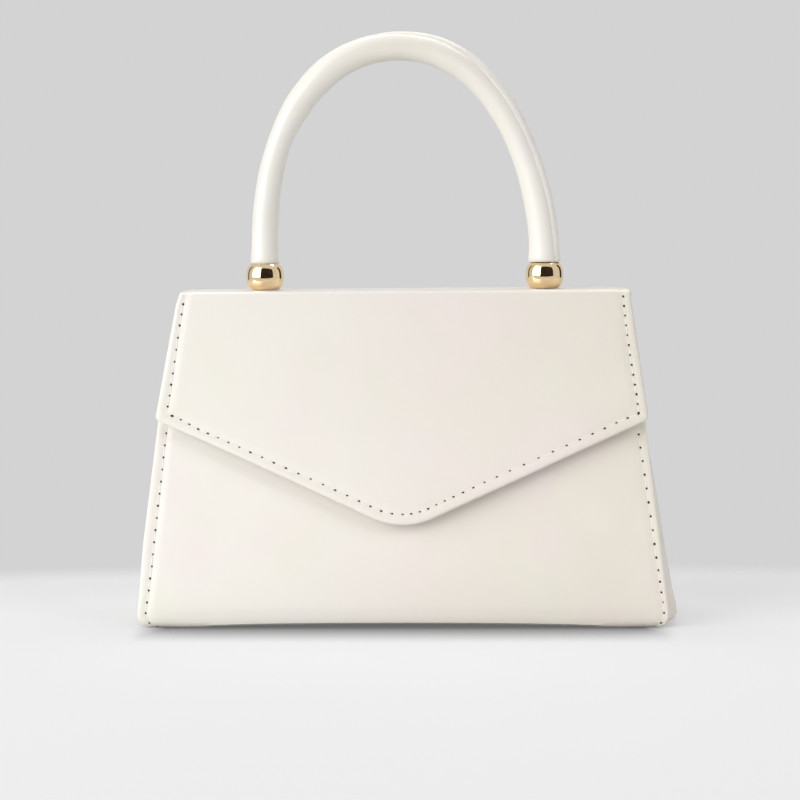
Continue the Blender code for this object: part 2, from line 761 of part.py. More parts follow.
def make_snap(body_outer, front_board, flap_board, flap_lining, flap_hinge):
    """The socket stands on the front panel and the stud under the flap, on one axis."""
    clear = SNAP_WASHER_RADIUS + LEG_LIP
    flap_face = ROLL_RADIUS - FLAP_THICKNESS
    stud_place = Matrix.Translation((0, SNAP_DISTANCE, flap_face)) @ Matrix.Rotation(math.pi, 4, "X")
    socket_place = Matrix.Translation((0, SNAP_DISTANCE, flap_face - SNAP_STACK))
    socket_frame = bpy.data.objects.new("socket_frame", None)
    PARTS.objects.link(socket_frame)
    socket_frame.matrix_world = flap_matrix() @ socket_place
    stud_frame = bpy.data.objects.new("stud_frame", None)
    PARTS.objects.link(stud_frame)
    stud_frame.parent = flap_hinge
    stud_frame.matrix_local = stud_place
    for slot in snap_half("snap_socket", socket_profile(), LEATHER, socket_frame):
        cut(body_outer, slot)
    add("snap_magnet", turned("snap_magnet", magnet_profile(), closed=True), STEEL, socket_frame)
    window = disc_mesh("front_window", clear, -(LINING_DEPTH + OVERRUN), OVERRUN)
    cut(front_board, add_cutter("front_window", window, socket_frame))
    for slot in snap_half("snap_stud", stud_profile(), LINING, stud_frame):
        cut(flap_lining, slot)
    window = disc_mesh("flap_window", clear, -(FLAP_THICKNESS + OVERRUN), OVERRUN)
    cut(flap_board, add_cutter("flap_window", window, stud_frame))


def flap_matrix():
    """From the flap's frame, with y down the flap and z out of its face, to the world."""
    down = Vector((0, -math.sin(FRONT_LEAN), -math.cos(FRONT_LEAN)))
    out = Vector((0, -math.cos(FRONT_LEAN), math.sin(FRONT_LEAN)))
    across = down.cross(out)
    turn = Matrix((across, down, out)).transposed().to_4x4()
    return Matrix.Translation((0, -CREASE_OUT, CREASE_HEIGHT)) @ turn


def crease_empty(name, matrix):
    made = bpy.data.objects.new(name, None)
    PARTS.objects.link(made)
    made.matrix_world = matrix
    return made


def main():
    body_outer = make_body_outer()
    front_board = make_body_boards()
    make_body_lining()
    make_pocket()
    make_gussets()
    back_crease = crease_empty("back_crease", Matrix.Translation((0, CREASE_OUT, CREASE_HEIGHT)))
    make_top_panel(back_crease)
    make_posts(back_crease)
    make_handle(back_crease)
    front_crease = crease_empty("front_crease", flap_matrix())
    flap_board, flap_lining = make_flap(front_crease)
    make_snap(body_outer, front_board, flap_board, flap_lining, front_crease)


clear_scene()
PARTS = collection("envelope_clutch")
CUTTERS = collection("cutters")
IVORY = material("ivory_leather", (0.86, 0.83, 0.78), 0.28)
LINING_CLOTH = material("lining_cloth", (0.72, 0.66, 0.57), 0.85)
GREYBOARD = material("greyboard", (0.45, 0.42, 0.38), 0.9)
GOLD = material("gold_plate", (0.83, 0.60, 0.30), 0.12, 1.0)
STEEL = material("zinc_steel", (0.62, 0.62, 0.63), 0.35, 1.0)
CORE_PLASTIC = material("core_plastic", (0.75, 0.74, 0.70), 0.6)
main()
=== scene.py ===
"""Looks of an envelope clutch in pearl coated leather, with turned and stitched edges and a rolled handle.

Everything is in metres in the part's own frame: the front faces -Y, +Z is up and the bag stands on z 0.
Each leather is drawn as its flat cut and then bent over the walls, the creases and its turned edges.
"""

import bisect
import json
import math

import bmesh
import bpy
from mathutils import Matrix, Vector, noise


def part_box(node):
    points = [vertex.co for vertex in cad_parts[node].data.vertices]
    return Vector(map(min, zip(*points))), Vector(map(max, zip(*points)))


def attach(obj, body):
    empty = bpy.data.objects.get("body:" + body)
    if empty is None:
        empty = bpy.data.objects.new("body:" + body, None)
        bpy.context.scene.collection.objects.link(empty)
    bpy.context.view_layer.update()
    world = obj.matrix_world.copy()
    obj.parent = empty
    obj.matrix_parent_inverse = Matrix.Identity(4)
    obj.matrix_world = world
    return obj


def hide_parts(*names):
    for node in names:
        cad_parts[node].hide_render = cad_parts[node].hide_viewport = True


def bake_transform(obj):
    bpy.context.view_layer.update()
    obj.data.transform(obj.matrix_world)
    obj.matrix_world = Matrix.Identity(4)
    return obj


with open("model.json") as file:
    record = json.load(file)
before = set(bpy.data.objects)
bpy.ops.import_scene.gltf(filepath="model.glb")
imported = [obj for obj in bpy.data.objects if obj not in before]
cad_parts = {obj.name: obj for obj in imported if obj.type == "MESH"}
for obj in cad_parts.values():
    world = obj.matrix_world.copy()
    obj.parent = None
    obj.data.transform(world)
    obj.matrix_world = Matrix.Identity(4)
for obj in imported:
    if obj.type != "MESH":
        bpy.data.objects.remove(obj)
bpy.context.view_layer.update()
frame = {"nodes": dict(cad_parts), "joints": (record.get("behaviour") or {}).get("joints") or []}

MM = 0.001
WELD = 0.01 * MM
HINGES = {joint["name"]: Vector(joint["pos_m"]) for joint in frame["joints"]}
BACK_CREASE = HINGES["top_hinge"]
FRONT_CREASE = HINGES["flap_hinge"]
BODY_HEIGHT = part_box("top_outer")[1].z
ROLL = BODY_HEIGHT - BACK_CREASE.z
TOP_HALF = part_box("top_outer")[1].x

# Body walls, as the solids have them
BASE_DEPTH = 70 * MM
BASE_WIDTH = 206 * MM
TOP_WIDTH = 176.4 * MM
BASE_FOLD = 7 * MM
CORNER_TRIM = 5 * MM
CORNER_HEIGHT = 10 * MM
CORNER_POWER = 4
CORNER_SQUARE_START = 74 * MM
CORNER_SQUARE_RUN = 20 * MM
LEFT_SPREAD = 1.1 * MM
LEFT_FULL_START = 8 * MM
LEFT_FULL_RUN = 27 * MM
LEFT_TRIM_START = 85 * MM
LEFT_TRIM_RUN = 35 * MM
MOUTH_HEIGHT = BODY_HEIGHT - 6.2 * MM
FLAP_STANDOFF = 6.55 * MM
BASE_ARCH = 1.5 * MM
ARCH_POWER = 2.6
ARCH_FADE = 13 * MM
REST_LENGTH = 11 * MM
BOARD_DEPTH = 1.25 * MM
BOARD = 1.2 * MM
LINING_DEPTH = 2.7 * MM
LINING_INSET = 6.8 * MM
HEM_DEPTH = 14 * MM
HEM_INSET = 9 * MM
HEM_STEP = 3 * MM
BACK_JOIN = BODY_HEIGHT - 10 * MM
CREASE_GAP = 1.2 * MM
CREASE_STEP = 1.5 * MM
PANEL_JOIN = 13 * MM
PANEL_STEP = 1 * MM
SLOPE_RISE = 0.5 * MM
SIDES = (-1, 1)
WORDS = ("left", "right")

# Glued leather drifts this far from flat, in waves this wide and high
DRIFT = 0.13 * MM
WIDE_DRIFT = (55 * MM, 48 * MM)
FINE_DRIFT = (21 * MM, 18 * MM)
DRIFT_FADE = 9 * MM

# Turned and stitched edges
BODY_EDGE_ROLL = 0.7 * MM
SEAM_START = 4 * MM
FLAP_EDGE_ROLL = 1.1 * MM
SEAM_PINCH = 0.24 * MM
GROOVE_DEPTH = 0.03 * MM
GROOVE_WIDTH = 0.5 * MM
PUCKER_DEPTH = 0.14 * MM
PUCKER_REACH = 0.95 * MM
PINCH_RUN = 3.4 * MM
EDGE_ROWS = 14
SEAM_STEP = 1.05 * MM
BODY_HEM = 2.2 * MM
FLAP_HEM = 4.4 * MM
SKIN = 0.45 * MM
MOUTH_SEAM_DROP = 3 * MM
LINE_STEP = 4 * MM
STITCH_PITCH = 4.45 * MM
POCKET_PITCH = 3.2 * MM
THREAD_RADIUS = 0.2 * MM
HOLE_LIFT = 0.07 * MM
HOLE_POINTS = 12
HOLE_STRAY = 0.12 * MM
STRAY_SPAN = 10 * MM

# Needle holes: their radius, and how much longer they are along the seam
SIDE_HOLE = (0.38 * MM, 1.15)
POINT_HOLE = (0.29 * MM, 1.7)
CORNER_HOLE = (0.42 * MM, 1.5)
CORNER_NEAR = 0.1 * MM

# How far in from the body's edges the stitches run, in mm, at heights in mm
BODY_INSETS = {
    -1: ((0, 3.3), (6, 3.3), (15, 3.7), (24, 4.2), (33, 4.3), (50, 4.1), (75, 3.8), (200, 3.8)),
    1: ((0, 1.9), (8, 2.0), (16, 2.1), (33, 2.4), (43, 2.6), (58, 2.9), (70, 3.3), (200, 3.3)),
}

# How long the stitches are along each run of a seam, in mm
FRONT_PITCHES = {-1: (4.4, 4.7, 4.7, 4.6), 1: (5.3, 5.3, 5.2, 5.5, 5.4, 3.6)}
BASE_PITCHES = (4.2, 4.4, 4.4, 4.2)
BACK_PITCHES = (4.5, 4.5)
FLAP_LEFT_PITCHES = (3.9, 4.7, 4.6, 4.4, 4.1, 4.4)
POINT_LEFT_PITCHES = (3.6, 4.6, 5.2, 5, 3.7)
POINT_RIGHT_PITCHES = (3.3, 3.6, 5.1, 6.2, 5.6, 5, 4.3)
FLAP_RIGHT_PITCHES = (3.8, 4, 4, 3.8)

# Gussets
SEAM_ALLOWANCE = 3.5 * MM
GUSSET_BULGES = {-1: 2.6 * MM, 1: 4 * MM}
GUSSET_TAPER = 0.031
GUSSET_FOLD = 15.2 * MM
GUSSET_FAN = 4 * MM
GUSSET_DROP = 2.6 * MM
GUSSET_DEPTH = 2.4 * MM
GUSSET_STEP = 3.6 * MM
GUSSET_COLUMNS = 24
GUSSET_FULL_START = 4 * MM
GUSSET_FULL_RUN = 11 * MM
GUSSET_LEATHER = 0.9 * MM
GUSSET_EDGE = 0.25 * MM
GUSSET_CLOTH_DEPTH = 1.6 * MM
CRUMPLE = 0.4 * MM
CRUMPLE_SIZE = 16 * MM

# Flap cut
FLAP_EAR_HALF = 94.9 * MM
FLAP_LENGTH = 89.6 * MM
FLAP_POINT_ANGLE = math.radians(24.6)
FLAP_TIP_RADIUS = 28 * MM
FLAP_EAR_RADIUS = 2.6 * MM
LEAST_EAR_RADIUS = 0.8 * MM
LEAST_BEND = 0.3 * MM
FLAP_DEPTH = 2.3 * MM
SHOULDER = 2.5 * MM
FLAP_DRIFT_START = 4 * MM
FLAP_DRIFT_RUN = 12 * MM

# Points along each side of the flap's edge and round the corner before it, and insets that it is drawn at
FLAP_RUNS = (76, 88, 88, 76)
FLAP_TURNS = (0, 6, 24, 6)
TABLE_STEP = 0.5 * MM
TABLE_ROWS = 20

# Where the flap's stitches start, and how far before and after the left ear they stop and go on
FLAP_LEFT_START = 0.2 * MM
LEFT_TURN = (2.7 * MM, 2.1 * MM)

# The left edge as this flap was cut: notched at the fold, fuller below it, and wide and short at the ear
NOTCH = 1.6 * MM
NOTCH_END = -1.5 * MM
NOTCH_EASE = 5.5 * MM
NOTCH_BACK = 4 * MM
NOTCH_BACK_EASE = 14 * MM
FULLER = 0.5 * MM
FULLER_RUN = 16 * MM
WIDE = 1.3 * MM
WIDE_START = 12 * MM
WIDE_RUN = 70 * MM
SHORT = 0.75 * MM

# Handle and beads
HANDLE_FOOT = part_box("handle_wrap")[0].z
HANDLE_RISE = 85 * MM
HANDLE_POWER = 2.16
POST_HALF = 55.4 * MM
HANDLE_LEAN = 1.8 * MM
VALLEY = 0.6 * MM
LIP = 0.25 * MM
FLARE = 0.35 * MM
SLEEVE_WAVE = 0.07 * MM
SLEEVE_LEATHER_DEPTH = 0.5 * MM
TUBE_START = 0.026
TUBE_GAP = 1.25 * MM
TUBE_WALL = 1.8 * MM

# A bead's radius shrinks by these times the square and the fourth power of its height, all in mm
BEAD_BELLY = (0.03, 0.0018)
BEAD_BORE = 1.7 * MM
BEAD_EASE = 0.35 * MM
BEAD_STEP = 0.35 * MM
RIM_DROPS = (0.02 * MM, 0.1 * MM)

# Along the handle: its radius in mm, and where the sleeve's seam lies in degrees (0 outside, 90 in front)
HANDLE_RADII = (
    (0, 5.3), (0.05, 5.2), (0.11, 4.95), (0.18, 4.7), (0.26, 5.45), (0.34, 5.8), (0.5, 5.65), (0.62, 5.95),
    (0.74, 5.8), (0.82, 5.45), (0.95, 5.8), (1, 6),
)
SEAM_TURNS = (
    (0, -118), (0.1, -80), (0.3, -45), (0.42, -10), (0.55, 26), (0.62, 46), (0.72, 62), (0.85, 55), (1, 46),
)

# Round the sleeve from its seam, in radians: close steps on each side of the seam, and even ones between
SEAM_NEAR = (0, 0.03, 0.08, 0.15, 0.25, 0.4, 0.55)
SEAM_FAR = (5.6, 5.75, 5.9, 6.03, 6.13, 6.2, 6.24)

# Linings
CLOTH_START = 3 * MM
CLOTH_INSET = 1.7 * MM
CLOTH_STEP = 4 * MM
CLOTH_LAP = 4 * MM
CLOTH_GAP = 0.3 * MM
FLAP_CLOTH_DEPTH = FLAP_DEPTH + 0.25 * MM
CLOTH_THICKNESS = 0.4 * MM
THIN_CLOTH = 0.3 * MM
SLACK = 0.25 * MM
SLACK_SIZE = 23 * MM
BACK_CLOTH_TOP = BACK_CREASE.z - 3 * MM
TOP_CLOTH_HALF = TOP_HALF - 3.2 * MM
TOP_CLOTH_REACH = 15.6 * MM
TOP_CLOTH_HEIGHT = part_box("top_lining")[0].z + 0.1 * MM
TOP_CLOTH_RISE = 1.2 * MM
TOP_CLOTH_STEP = 3 * MM

# Pocket
POCKET_HALF = 59 * MM
POCKET_BOTTOM = 34 * MM
POCKET_HEIGHT = 58 * MM
POCKET_PUFF = 1.8 * MM
POCKET_LIFT = 0.3 * MM
POCKET_DEPTH = LINING_DEPTH + 0.9 * MM
POCKET_CLOTH = 0.35 * MM
POCKET_HEM_GAP = 0.7 * MM
POCKET_SEAM_INSET = 2 * MM
POCKET_SEAM_DROP = 3 * MM
POCKET_SEAM_DEPTH = LINING_DEPTH + 1.25 * MM

# Stage, in metres. The floor is an oval that fades out, with a painted contact shadow close under the bag
FLOOR_SIZE = 6
FLOOR_CENTRE = (0.03, -0.2, 0)
FLOOR_RADII = (0.66, 0.345, 1)
FLOOR_FADE = 0.86
FLOOR_GLOW = 0.45
FLOOR_GLOW_STRENGTH = 1.04
CONTACT_REACH = 0.031
CONTACT_POWER = 1.9
CONTACT_LEAST = 0.33
CONTACT_ENDS = (0.084, 0.106)

# Dark cards seen only in gloss: name, one foot, the other foot and height
CARDS = (
    ("front_card", (-0.62, -1.35), (1.9, -1.35), 1.9),
    ("right_flag", (1.36, 0.34), (1.16, 0.77), 1.2),
    ("left_flag", (-1.33, 0.42), (-1.22, 0.68), 1.2),
)

# Soft lamps: name, place, width and height, watts and colour. The fill is kept out of the gloss
AIM = (0, 0, 0.1)
LAMPS = (
    ("key", (-1.5, -1.2, 0.65), (1.9, 1.2), 31, "#FFFEFC"),
    ("key_top", (-1.4, -1.1, 1.8), (1.9, 1.1), 8, "#FFFEFC"),
    ("fill", (1.3, -1.0, 0.9), (0.9, 0.9), 10.5, "#FFFFFF"),
    ("top", (0.05, 0.36, 1.5), (1.5, 0.4), 10.5, "#FFFFFF"),
)

# The camera: its place, its yaw, pitch and roll in degrees, and its lens in mm
CAMERA_PLACE = (0.0370, -0.9318, 0.1585)
CAMERA_TURNS = (-2.405, 4.449, 0.422)
CAMERA_LENS = 105.75
SENSOR_WIDTH = 36


def smooth(share):
    share = min(1, max(0, share))
    return share * share * (3 - 2 * share)


def ease(value, start, run):
    """From 0 at the start to 1 a run further on."""
    return smooth((value - start) / run)


def bell(distance, width):
    return math.exp(-((distance / width) ** 2))


def steps(start, end, size):
    """Even steps from start to end, each about this size."""
    count = max(1, round(abs(end - start) / size))
    return [start + (end - start) * step / count for step in range(count + 1)]


def keyed(share, keys):
    """A value that changes smoothly between keys of (share, value)."""
    for (start, low), (end, high) in zip(keys, keys[1:]):
        if share <= end:
            break
    return low + (high - low) * smooth((share - start) / (end - start))


# Materials

def colour(code):
    """An sRGB hex colour as linear values."""
    parts = [int(code[i : i + 2], 16) / 255 for i in (1, 3, 5)]
    return [p / 12.92 if p <= 0.04045 else ((p + 0.055) / 1.055) ** 2.4 for p in parts] + [1]


def add_node(tree, kind, settings=None, links=None):
    """Adds a node. Settings give its properties and inputs, and links feed its inputs, by name or place."""
    made = tree.nodes.new(kind)
    for key, value in (settings or {}).items():
        if isinstance(key, str) and hasattr(made, key):
            setattr(made, key, value)
        else:
            made.inputs[key].default_value = value
    for key, source in (links or {}).items():
        tree.links.new(source, made.inputs[key])
    return made


def new_finish(name, sockets):
    """A new material with these sockets set: the material, its tree, its shader and the object's place."""
    made = bpy.data.materials.new(name)
    made.use_nodes = True
    shader = made.node_tree.nodes["Principled BSDF"]
    for key, value in sockets.items():
        shader.inputs[key].default_value = value
    place = add_node(made.node_tree, "ShaderNodeTexCoord").outputs["Object"]
    return made, made.node_tree, shader, place


def pearl_leather(name, left, middle, right):
    """Split leather with a rolled pearl polyurethane coat: a wide soft gloss over ivory.

    Its colour runs across the bag from the left tint through the middle one to the right one: painted light
    and shade for how the lamps fall on it. Rose and straw blotches are partly the coat's own tint and partly
    its pearl sheen painted in, and the hide's pores show only as a faint pebble.
    """
    made, tree, shader, place = new_finish(name, {"IOR": 1.5, "Coat Weight": 0.25, "Coat Roughness": 0.2})
    # Painted light and shade: the tint changes with x across the bag, and a wide noise moves where it changes
    across = add_node(tree, "ShaderNodeSeparateXYZ", None, {0: place}).outputs["X"]
    shade_wander = add_node(tree, "ShaderNodeTexNoise", {"Scale": 1 / (50 * MM), "Detail": 1}, {"Vector": place})
    settings = {"operation": "MULTIPLY_ADD", 1: 50 * MM}
    across = add_node(tree, "ShaderNodeMath", settings, {0: shade_wander.outputs[0], 2: across}).outputs[0]
    spans = {"From Min": -60 * MM, "From Max": 25 * MM}
    near = add_node(tree, "ShaderNodeMapRange", spans, {"Value": across}).outputs[0]
    spans = {"From Min": 25 * MM, "From Max": 110 * MM}
    far = add_node(tree, "ShaderNodeMapRange", spans, {"Value": across}).outputs[0]
    tints = {"data_type": "RGBA", 6: colour(left), 7: colour(middle)}
    tint = add_node(tree, "ShaderNodeMix", tints, {0: near}).outputs[2]
    tints = {"data_type": "RGBA", 7: colour(right)}
    tint = add_node(tree, "ShaderNodeMix", tints, {0: far, 6: tint}).outputs[2]
    # The rose and straw blotches are partly the coat's own tint and partly its pearl sheen, painted in
    blotch = {"noise_dimensions": "4D", "Scale": 1 / (34 * MM), "Detail": 1.5, "W": 3.0}
    rose = add_node(tree, "ShaderNodeTexNoise", blotch, {"Vector": place}).outputs[0]
    spans = {"From Min": 0.5, "From Max": 0.72, "To Max": 0.55}
    rose = add_node(tree, "ShaderNodeMapRange", spans, {"Value": rose}).outputs[0]
    tints = {"data_type": "RGBA", 7: colour("#F3E6E6")}
    tint = add_node(tree, "ShaderNodeMix", tints, {0: rose, 6: tint}).outputs[2]
    blotch = {"noise_dimensions": "4D", "Scale": 1 / (27 * MM), "Detail": 1.0, "W": 7.0}
    straw = add_node(tree, "ShaderNodeTexNoise", blotch, {"Vector": place}).outputs[0]
    spans = {"From Min": 0.52, "From Max": 0.74, "To Max": 0.5}
    straw = add_node(tree, "ShaderNodeMapRange", spans, {"Value": straw}).outputs[0]
    tints = {"data_type": "RGBA", 7: colour("#EEECDD")}
    tint = add_node(tree, "ShaderNodeMix", tints, {0: straw, 6: tint}).outputs[2]
    tree.links.new(tint, shader.inputs["Base Color"])
    gloss = add_node(tree, "ShaderNodeTexNoise", {"Scale": 1 / (3 * MM), "Detail": 3}, {"Vector": place})
    spans = {"From Min": 0.3, "From Max": 0.7, "To Min": 0.34, "To Max": 0.42}
    rough = add_node(tree, "ShaderNodeMapRange", spans, {"Value": gloss.outputs[0]}).outputs[0]
    tree.links.new(rough, shader.inputs["Roughness"])
    pores = add_node(tree, "ShaderNodeTexVoronoi", {"Scale": 1 / (0.6 * MM)}, {"Vector": place}).outputs[0]
    depth = {"Strength": 0.12, "Distance": 0.03 * MM}
    grain = add_node(tree, "ShaderNodeBump", depth, {"Height": pores}).outputs[0]
    swell = add_node(tree, "ShaderNodeTexNoise", {"Scale": 1 / (10 * MM), "Detail": 1}, {"Vector": place})
    depth = {"Strength": 0.5, "Distance": 0.05 * MM}
    links = {"Height": swell.outputs[0], "Normal": grain}
    tree.links.new(add_node(tree, "ShaderNodeBump", depth, links).outputs[0], shader.inputs["Normal"])
    return made


def lining_cloth():
    """Plain woven polyester: an over-and-under weave, matt with a slight slub. Drawn coarser than it is."""
    made, tree, shader, place = new_finish("woven_polyester_lining", {"Roughness": 0.8, "Sheen Weight": 0.15})
    yarn = {"Scale": 0.15 / MM, "Distortion": 0.4}
    warp = add_node(tree, "ShaderNodeTexWave", {**yarn, "bands_direction": "X"}, {"Vector": place}).outputs[1]
    weft = add_node(tree, "ShaderNodeTexWave", {**yarn, "bands_direction": "Z"}, {"Vector": place}).outputs[1]
    weave = add_node(tree, "ShaderNodeMath", {"operation": "MULTIPLY"}, {0: warp, 1: weft}).outputs[0]
    bits = {"Scale": 1 / (6 * MM), "Detail": 4}
    slub = add_node(tree, "ShaderNodeTexNoise", bits, {"Vector": place}).outputs[0]
    tints = {"data_type": "RGBA", 6: colour("#DACFBF"), 7: colour("#CFC2AF")}
    tint = add_node(tree, "ShaderNodeMix", tints, {0: slub}).outputs[2]
    half = add_node(tree, "ShaderNodeMath", {"operation": "MULTIPLY", 1: 0.5}, {0: weave}).outputs[0]
    tints = {"data_type": "RGBA", 7: colour("#E8DFD1")}
    tint = add_node(tree, "ShaderNodeMix", tints, {0: half, 6: tint}).outputs[2]
    tree.links.new(tint, shader.inputs["Base Color"])
    depth = {"Strength": 0.4, "Distance": 0.1 * MM}
    relief = add_node(tree, "ShaderNodeBump", depth, {"Height": weave}).outputs[0]
    tree.links.new(relief, shader.inputs["Normal"])
    return made


def greyboard():
    """Millboard pressed from waste paper: dull grey with fibre flecks."""
    made, tree, shader, place = new_finish("grey_millboard", {"Roughness": 0.92})
    bits = {"Scale": 1 / (1.2 * MM), "Detail": 5}
    fibre = add_node(tree, "ShaderNodeTexNoise", bits, {"Vector": place}).outputs[0]
    spans = {"From Min": 0.35, "From Max": 0.7}
    fleck = add_node(tree, "ShaderNodeMapRange", spans, {"Value": fibre}).outputs[0]
    tints = {"data_type": "RGBA", 6: colour("#8F8A82"), 7: colour("#B5AFA5")}
    tree.links.new(add_node(tree, "ShaderNodeMix", tints, {0: fleck}).outputs[2], shader.inputs["Base Color"])
    depth = {"Strength": 0.5, "Distance": 0.05 * MM}
    relief = add_node(tree, "ShaderNodeBump", depth, {"Height": fibre}).outputs[0]
    tree.links.new(relief, shader.inputs["Normal"])
    return made


def gold_plate():
    """Zinc alloy, barrel polished and gold plated: a mirror with a faint polishing haze."""
    made, tree, shader, place = new_finish("polished_gold_plate", {"Metallic": 1.0})
    bits = {"Scale": 1 / (1.5 * MM), "Detail": 4}
    haze = add_node(tree, "ShaderNodeTexNoise", bits, {"Vector": place}).outputs[0]
    tints = {"data_type": "RGBA", 6: colour("#FFE9C4"), 7: colour("#FCDFB2")}
    tree.links.new(add_node(tree, "ShaderNodeMix", tints, {0: haze}).outputs[2], shader.inputs["Base Color"])
    spans = {"From Min": 0.3, "From Max": 0.7, "To Min": 0.03, "To Max": 0.06}
    rough = add_node(tree, "ShaderNodeMapRange", spans, {"Value": haze}).outputs[0]
    tree.links.new(rough, shader.inputs["Roughness"])
    return made


def zinc_steel():
    """Stamped and turned steel with bright zinc plate: satin, with fine turning marks."""
    made, tree, shader, place = new_finish("zinc_plated_steel", {"Metallic": 1.0})
    marks = add_node(tree, "ShaderNodeTexNoise", {"Scale": 1 / (0.4 * MM)}, {"Vector": place}).outputs[0]
    tints = {"data_type": "RGBA", 6: colour("#B9BABC"), 7: colour("#CFCFCE")}
    tree.links.new(add_node(tree, "ShaderNodeMix", tints, {0: marks}).outputs[2], shader.inputs["Base Color"])
    spans = {"From Min": 0.3, "From Max": 0.7, "To Min": 0.28, "To Max": 0.42}
    rough = add_node(tree, "ShaderNodeMapRange", spans, {"Value": marks}).outputs[0]
    tree.links.new(rough, shader.inputs["Roughness"])
    return made


def core_plastic():
    """Extruded PVC rod: even, slightly waxy, with faint draw lines."""
    made, tree, shader, place = new_finish("extruded_pvc", {"Roughness": 0.5})
    draw = add_node(tree, "ShaderNodeTexNoise", {"Scale": 1 / (3 * MM)}, {"Vector": place}).outputs[0]
    tints = {"data_type": "RGBA", 6: colour("#E4E1D8"), 7: colour("#D6D2C6")}
    tree.links.new(add_node(tree, "ShaderNodeMix", tints, {0: draw}).outputs[2], shader.inputs["Base Color"])
    return made


def sewing_thread():
    """Bonded polyester thread: a soft sheen, and the slant of its twist across each stitch."""
    made, tree, shader, place = new_finish("bonded_polyester_thread", {"Roughness": 0.5, "Sheen Weight": 0.2})
    ply = {"Scale": 0.6 / MM, "bands_direction": "DIAGONAL"}
    twist = add_node(tree, "ShaderNodeTexWave", ply, {"Vector": place}).outputs[1]
    tints = {"data_type": "RGBA", 6: colour("#EFE8DC"), 7: colour("#FAF7F0")}
    tree.links.new(add_node(tree, "ShaderNodeMix", tints, {0: twist}).outputs[2], shader.inputs["Base Color"])
    return made


def needle_hole_shade():
    """Painted shade: the dark, unlit inside of a needle hole, with a little of the bare hide fibre's brown.
    """
    made, tree, shader, place = new_finish("needle_hole_shade", {"Roughness": 0.9})
    fibre = add_node(tree, "ShaderNodeTexNoise", {"Scale": 1 / (0.3 * MM)}, {"Vector": place}).outputs[0]
    tints = {"data_type": "RGBA", 6: colour("#231E1A"), 7: colour("#3A332D")}
    tree.links.new(add_node(tree, "ShaderNodeMix", tints, {0: fibre}).outputs[2], shader.inputs["Base Color"])
    return made


# The body's leather is painted lighter on the left and darker to the right: painted shade for the key lamp's
# falloff
LEATHER = pearl_leather("pearl_coated_leather", "#F3F0E9", "#EFE9E2", "#EAE4D9")
# The handle's leather is painted lighter on its left arm, darker over its top and lighter again on its right
# arm: painted highlight and shade
SLEEVE_LEATHER = pearl_leather("pearl_coated_sleeve_leather", "#F8F6F1", "#ECE8DE", "#FCFAF5")
CLOTH = lining_cloth()
THREAD = sewing_thread()
HOLE_SHADE = needle_hole_shade()
GOLD = gold_plate()


# Mesh helpers

def piece_from(name, shape, material, flat_angle=40):
    """An object from a bmesh, smooth except at its sharp edges."""
    mesh = bpy.data.meshes.new(name)
    shape.to_mesh(mesh)
    shape.free()
    mesh.materials.append(material)
    mesh.shade_smooth()
    mesh.set_sharp_from_angle(angle=math.radians(flat_angle))
    made = bpy.data.objects.new(name, mesh)
    bpy.context.scene.collection.objects.link(made)
    return made


def grid(rows, wrap=False, shape=None):
    """A sheet of quads through rows of points."""
    shape = shape or bmesh.new()
    made = [[shape.verts.new(point) for point in row] for row in rows]
    for low, high in zip(made, made[1:]):
        quads = list(zip(low, low[1:], high[1:], high))
        if wrap:
            quads.append((low[-1], low[0], high[0], high[-1]))
        for quad in quads:
            shape.faces.new(quad)
    return shape


def welded(shape):
    bmesh.ops.remove_doubles(shape, verts=shape.verts, dist=WELD)
    return shape


def thicken(piece, thickness=SKIN, rounding=0):
    shell = piece.modifiers.new("Thickness", "SOLIDIFY")
    shell.thickness = thickness
    shell.offset = -1
    if rounding:
        edge = piece.modifiers.new("Edge", "BEVEL")
        edge.width = rounding
        edge.segments = 3
        edge.limit_method = "ANGLE"
        edge.angle_limit = math.radians(60)


# Sewing: a line is pairs of (point, normal) on the leather, and a spot is a distance along it

def runs_of(line):
    """How far along a line each of its points is."""
    runs = [0]
    for (here, _), (after, _) in zip(line, line[1:]):
        runs.append(runs[-1] + (after - here).length)
    return runs


def line_at(line, runs, spot):
    """The point, normal and direction of a line at a spot."""
    index = min(max(bisect.bisect_right(runs, spot), 1), len(runs) - 1)
    (here, up), (after, next_up) = line[index - 1], line[index]
    share = (spot - runs[index - 1]) / (runs[index] - runs[index - 1])
    return here.lerp(after, share), up.lerp(next_up, share).normalized(), (after - here).normalized()


def sewn_spots(start, end, pitches):
    """Needle holes from start to end. The stitches' length in mm runs through these values on the way."""
    gaps = []
    while sum(gaps) < end - start:
        place = sum(gaps) / (end - start) * (len(pitches) - 1)
        low = min(int(place), len(pitches) - 2)
        gaps.append((pitches[low] + (pitches[low + 1] - pitches[low]) * (place - low)) * MM)
    if sum(gaps) - (end - start) > gaps[-1] / 2:
        gaps.pop()
    spots = [start]
    for gap in gaps:
        spots.append(spots[-1] + gap * (end - start) / sum(gaps))
    return spots


def pucker(run, spots):
    """How much the stitches draw the leather down here: 1 at a needle hole and 0 well away from one."""
    return bell(min(abs(run - spot) for spot in spots), PUCKER_REACH)


def sew_thread(shape, line, runs, start, end):
    """One stitch: thread that comes up at one hole, follows the leather and goes down at the next."""
    rows = []
    rings, around = 8, 8
    for ring in range(rings + 1):
        share = ring / rings
        point, up, run = line_at(line, runs, start + (end - start) * share)
        side = run.cross(up).normalized()
        arch = math.sin(math.pi * share)
        centre = point + up * THREAD_RADIUS * (0.5 * arch**0.5 - 0.7)
        reach = THREAD_RADIUS * (0.5 + 0.5 * arch**0.4)
        row = []
        for step in range(around):
            angle = math.tau * step / around
            row.append(centre + (side * math.cos(angle) + up * math.sin(angle)) * reach)
        rows.append(row)
    grid(rows, wrap=True, shape=shape)


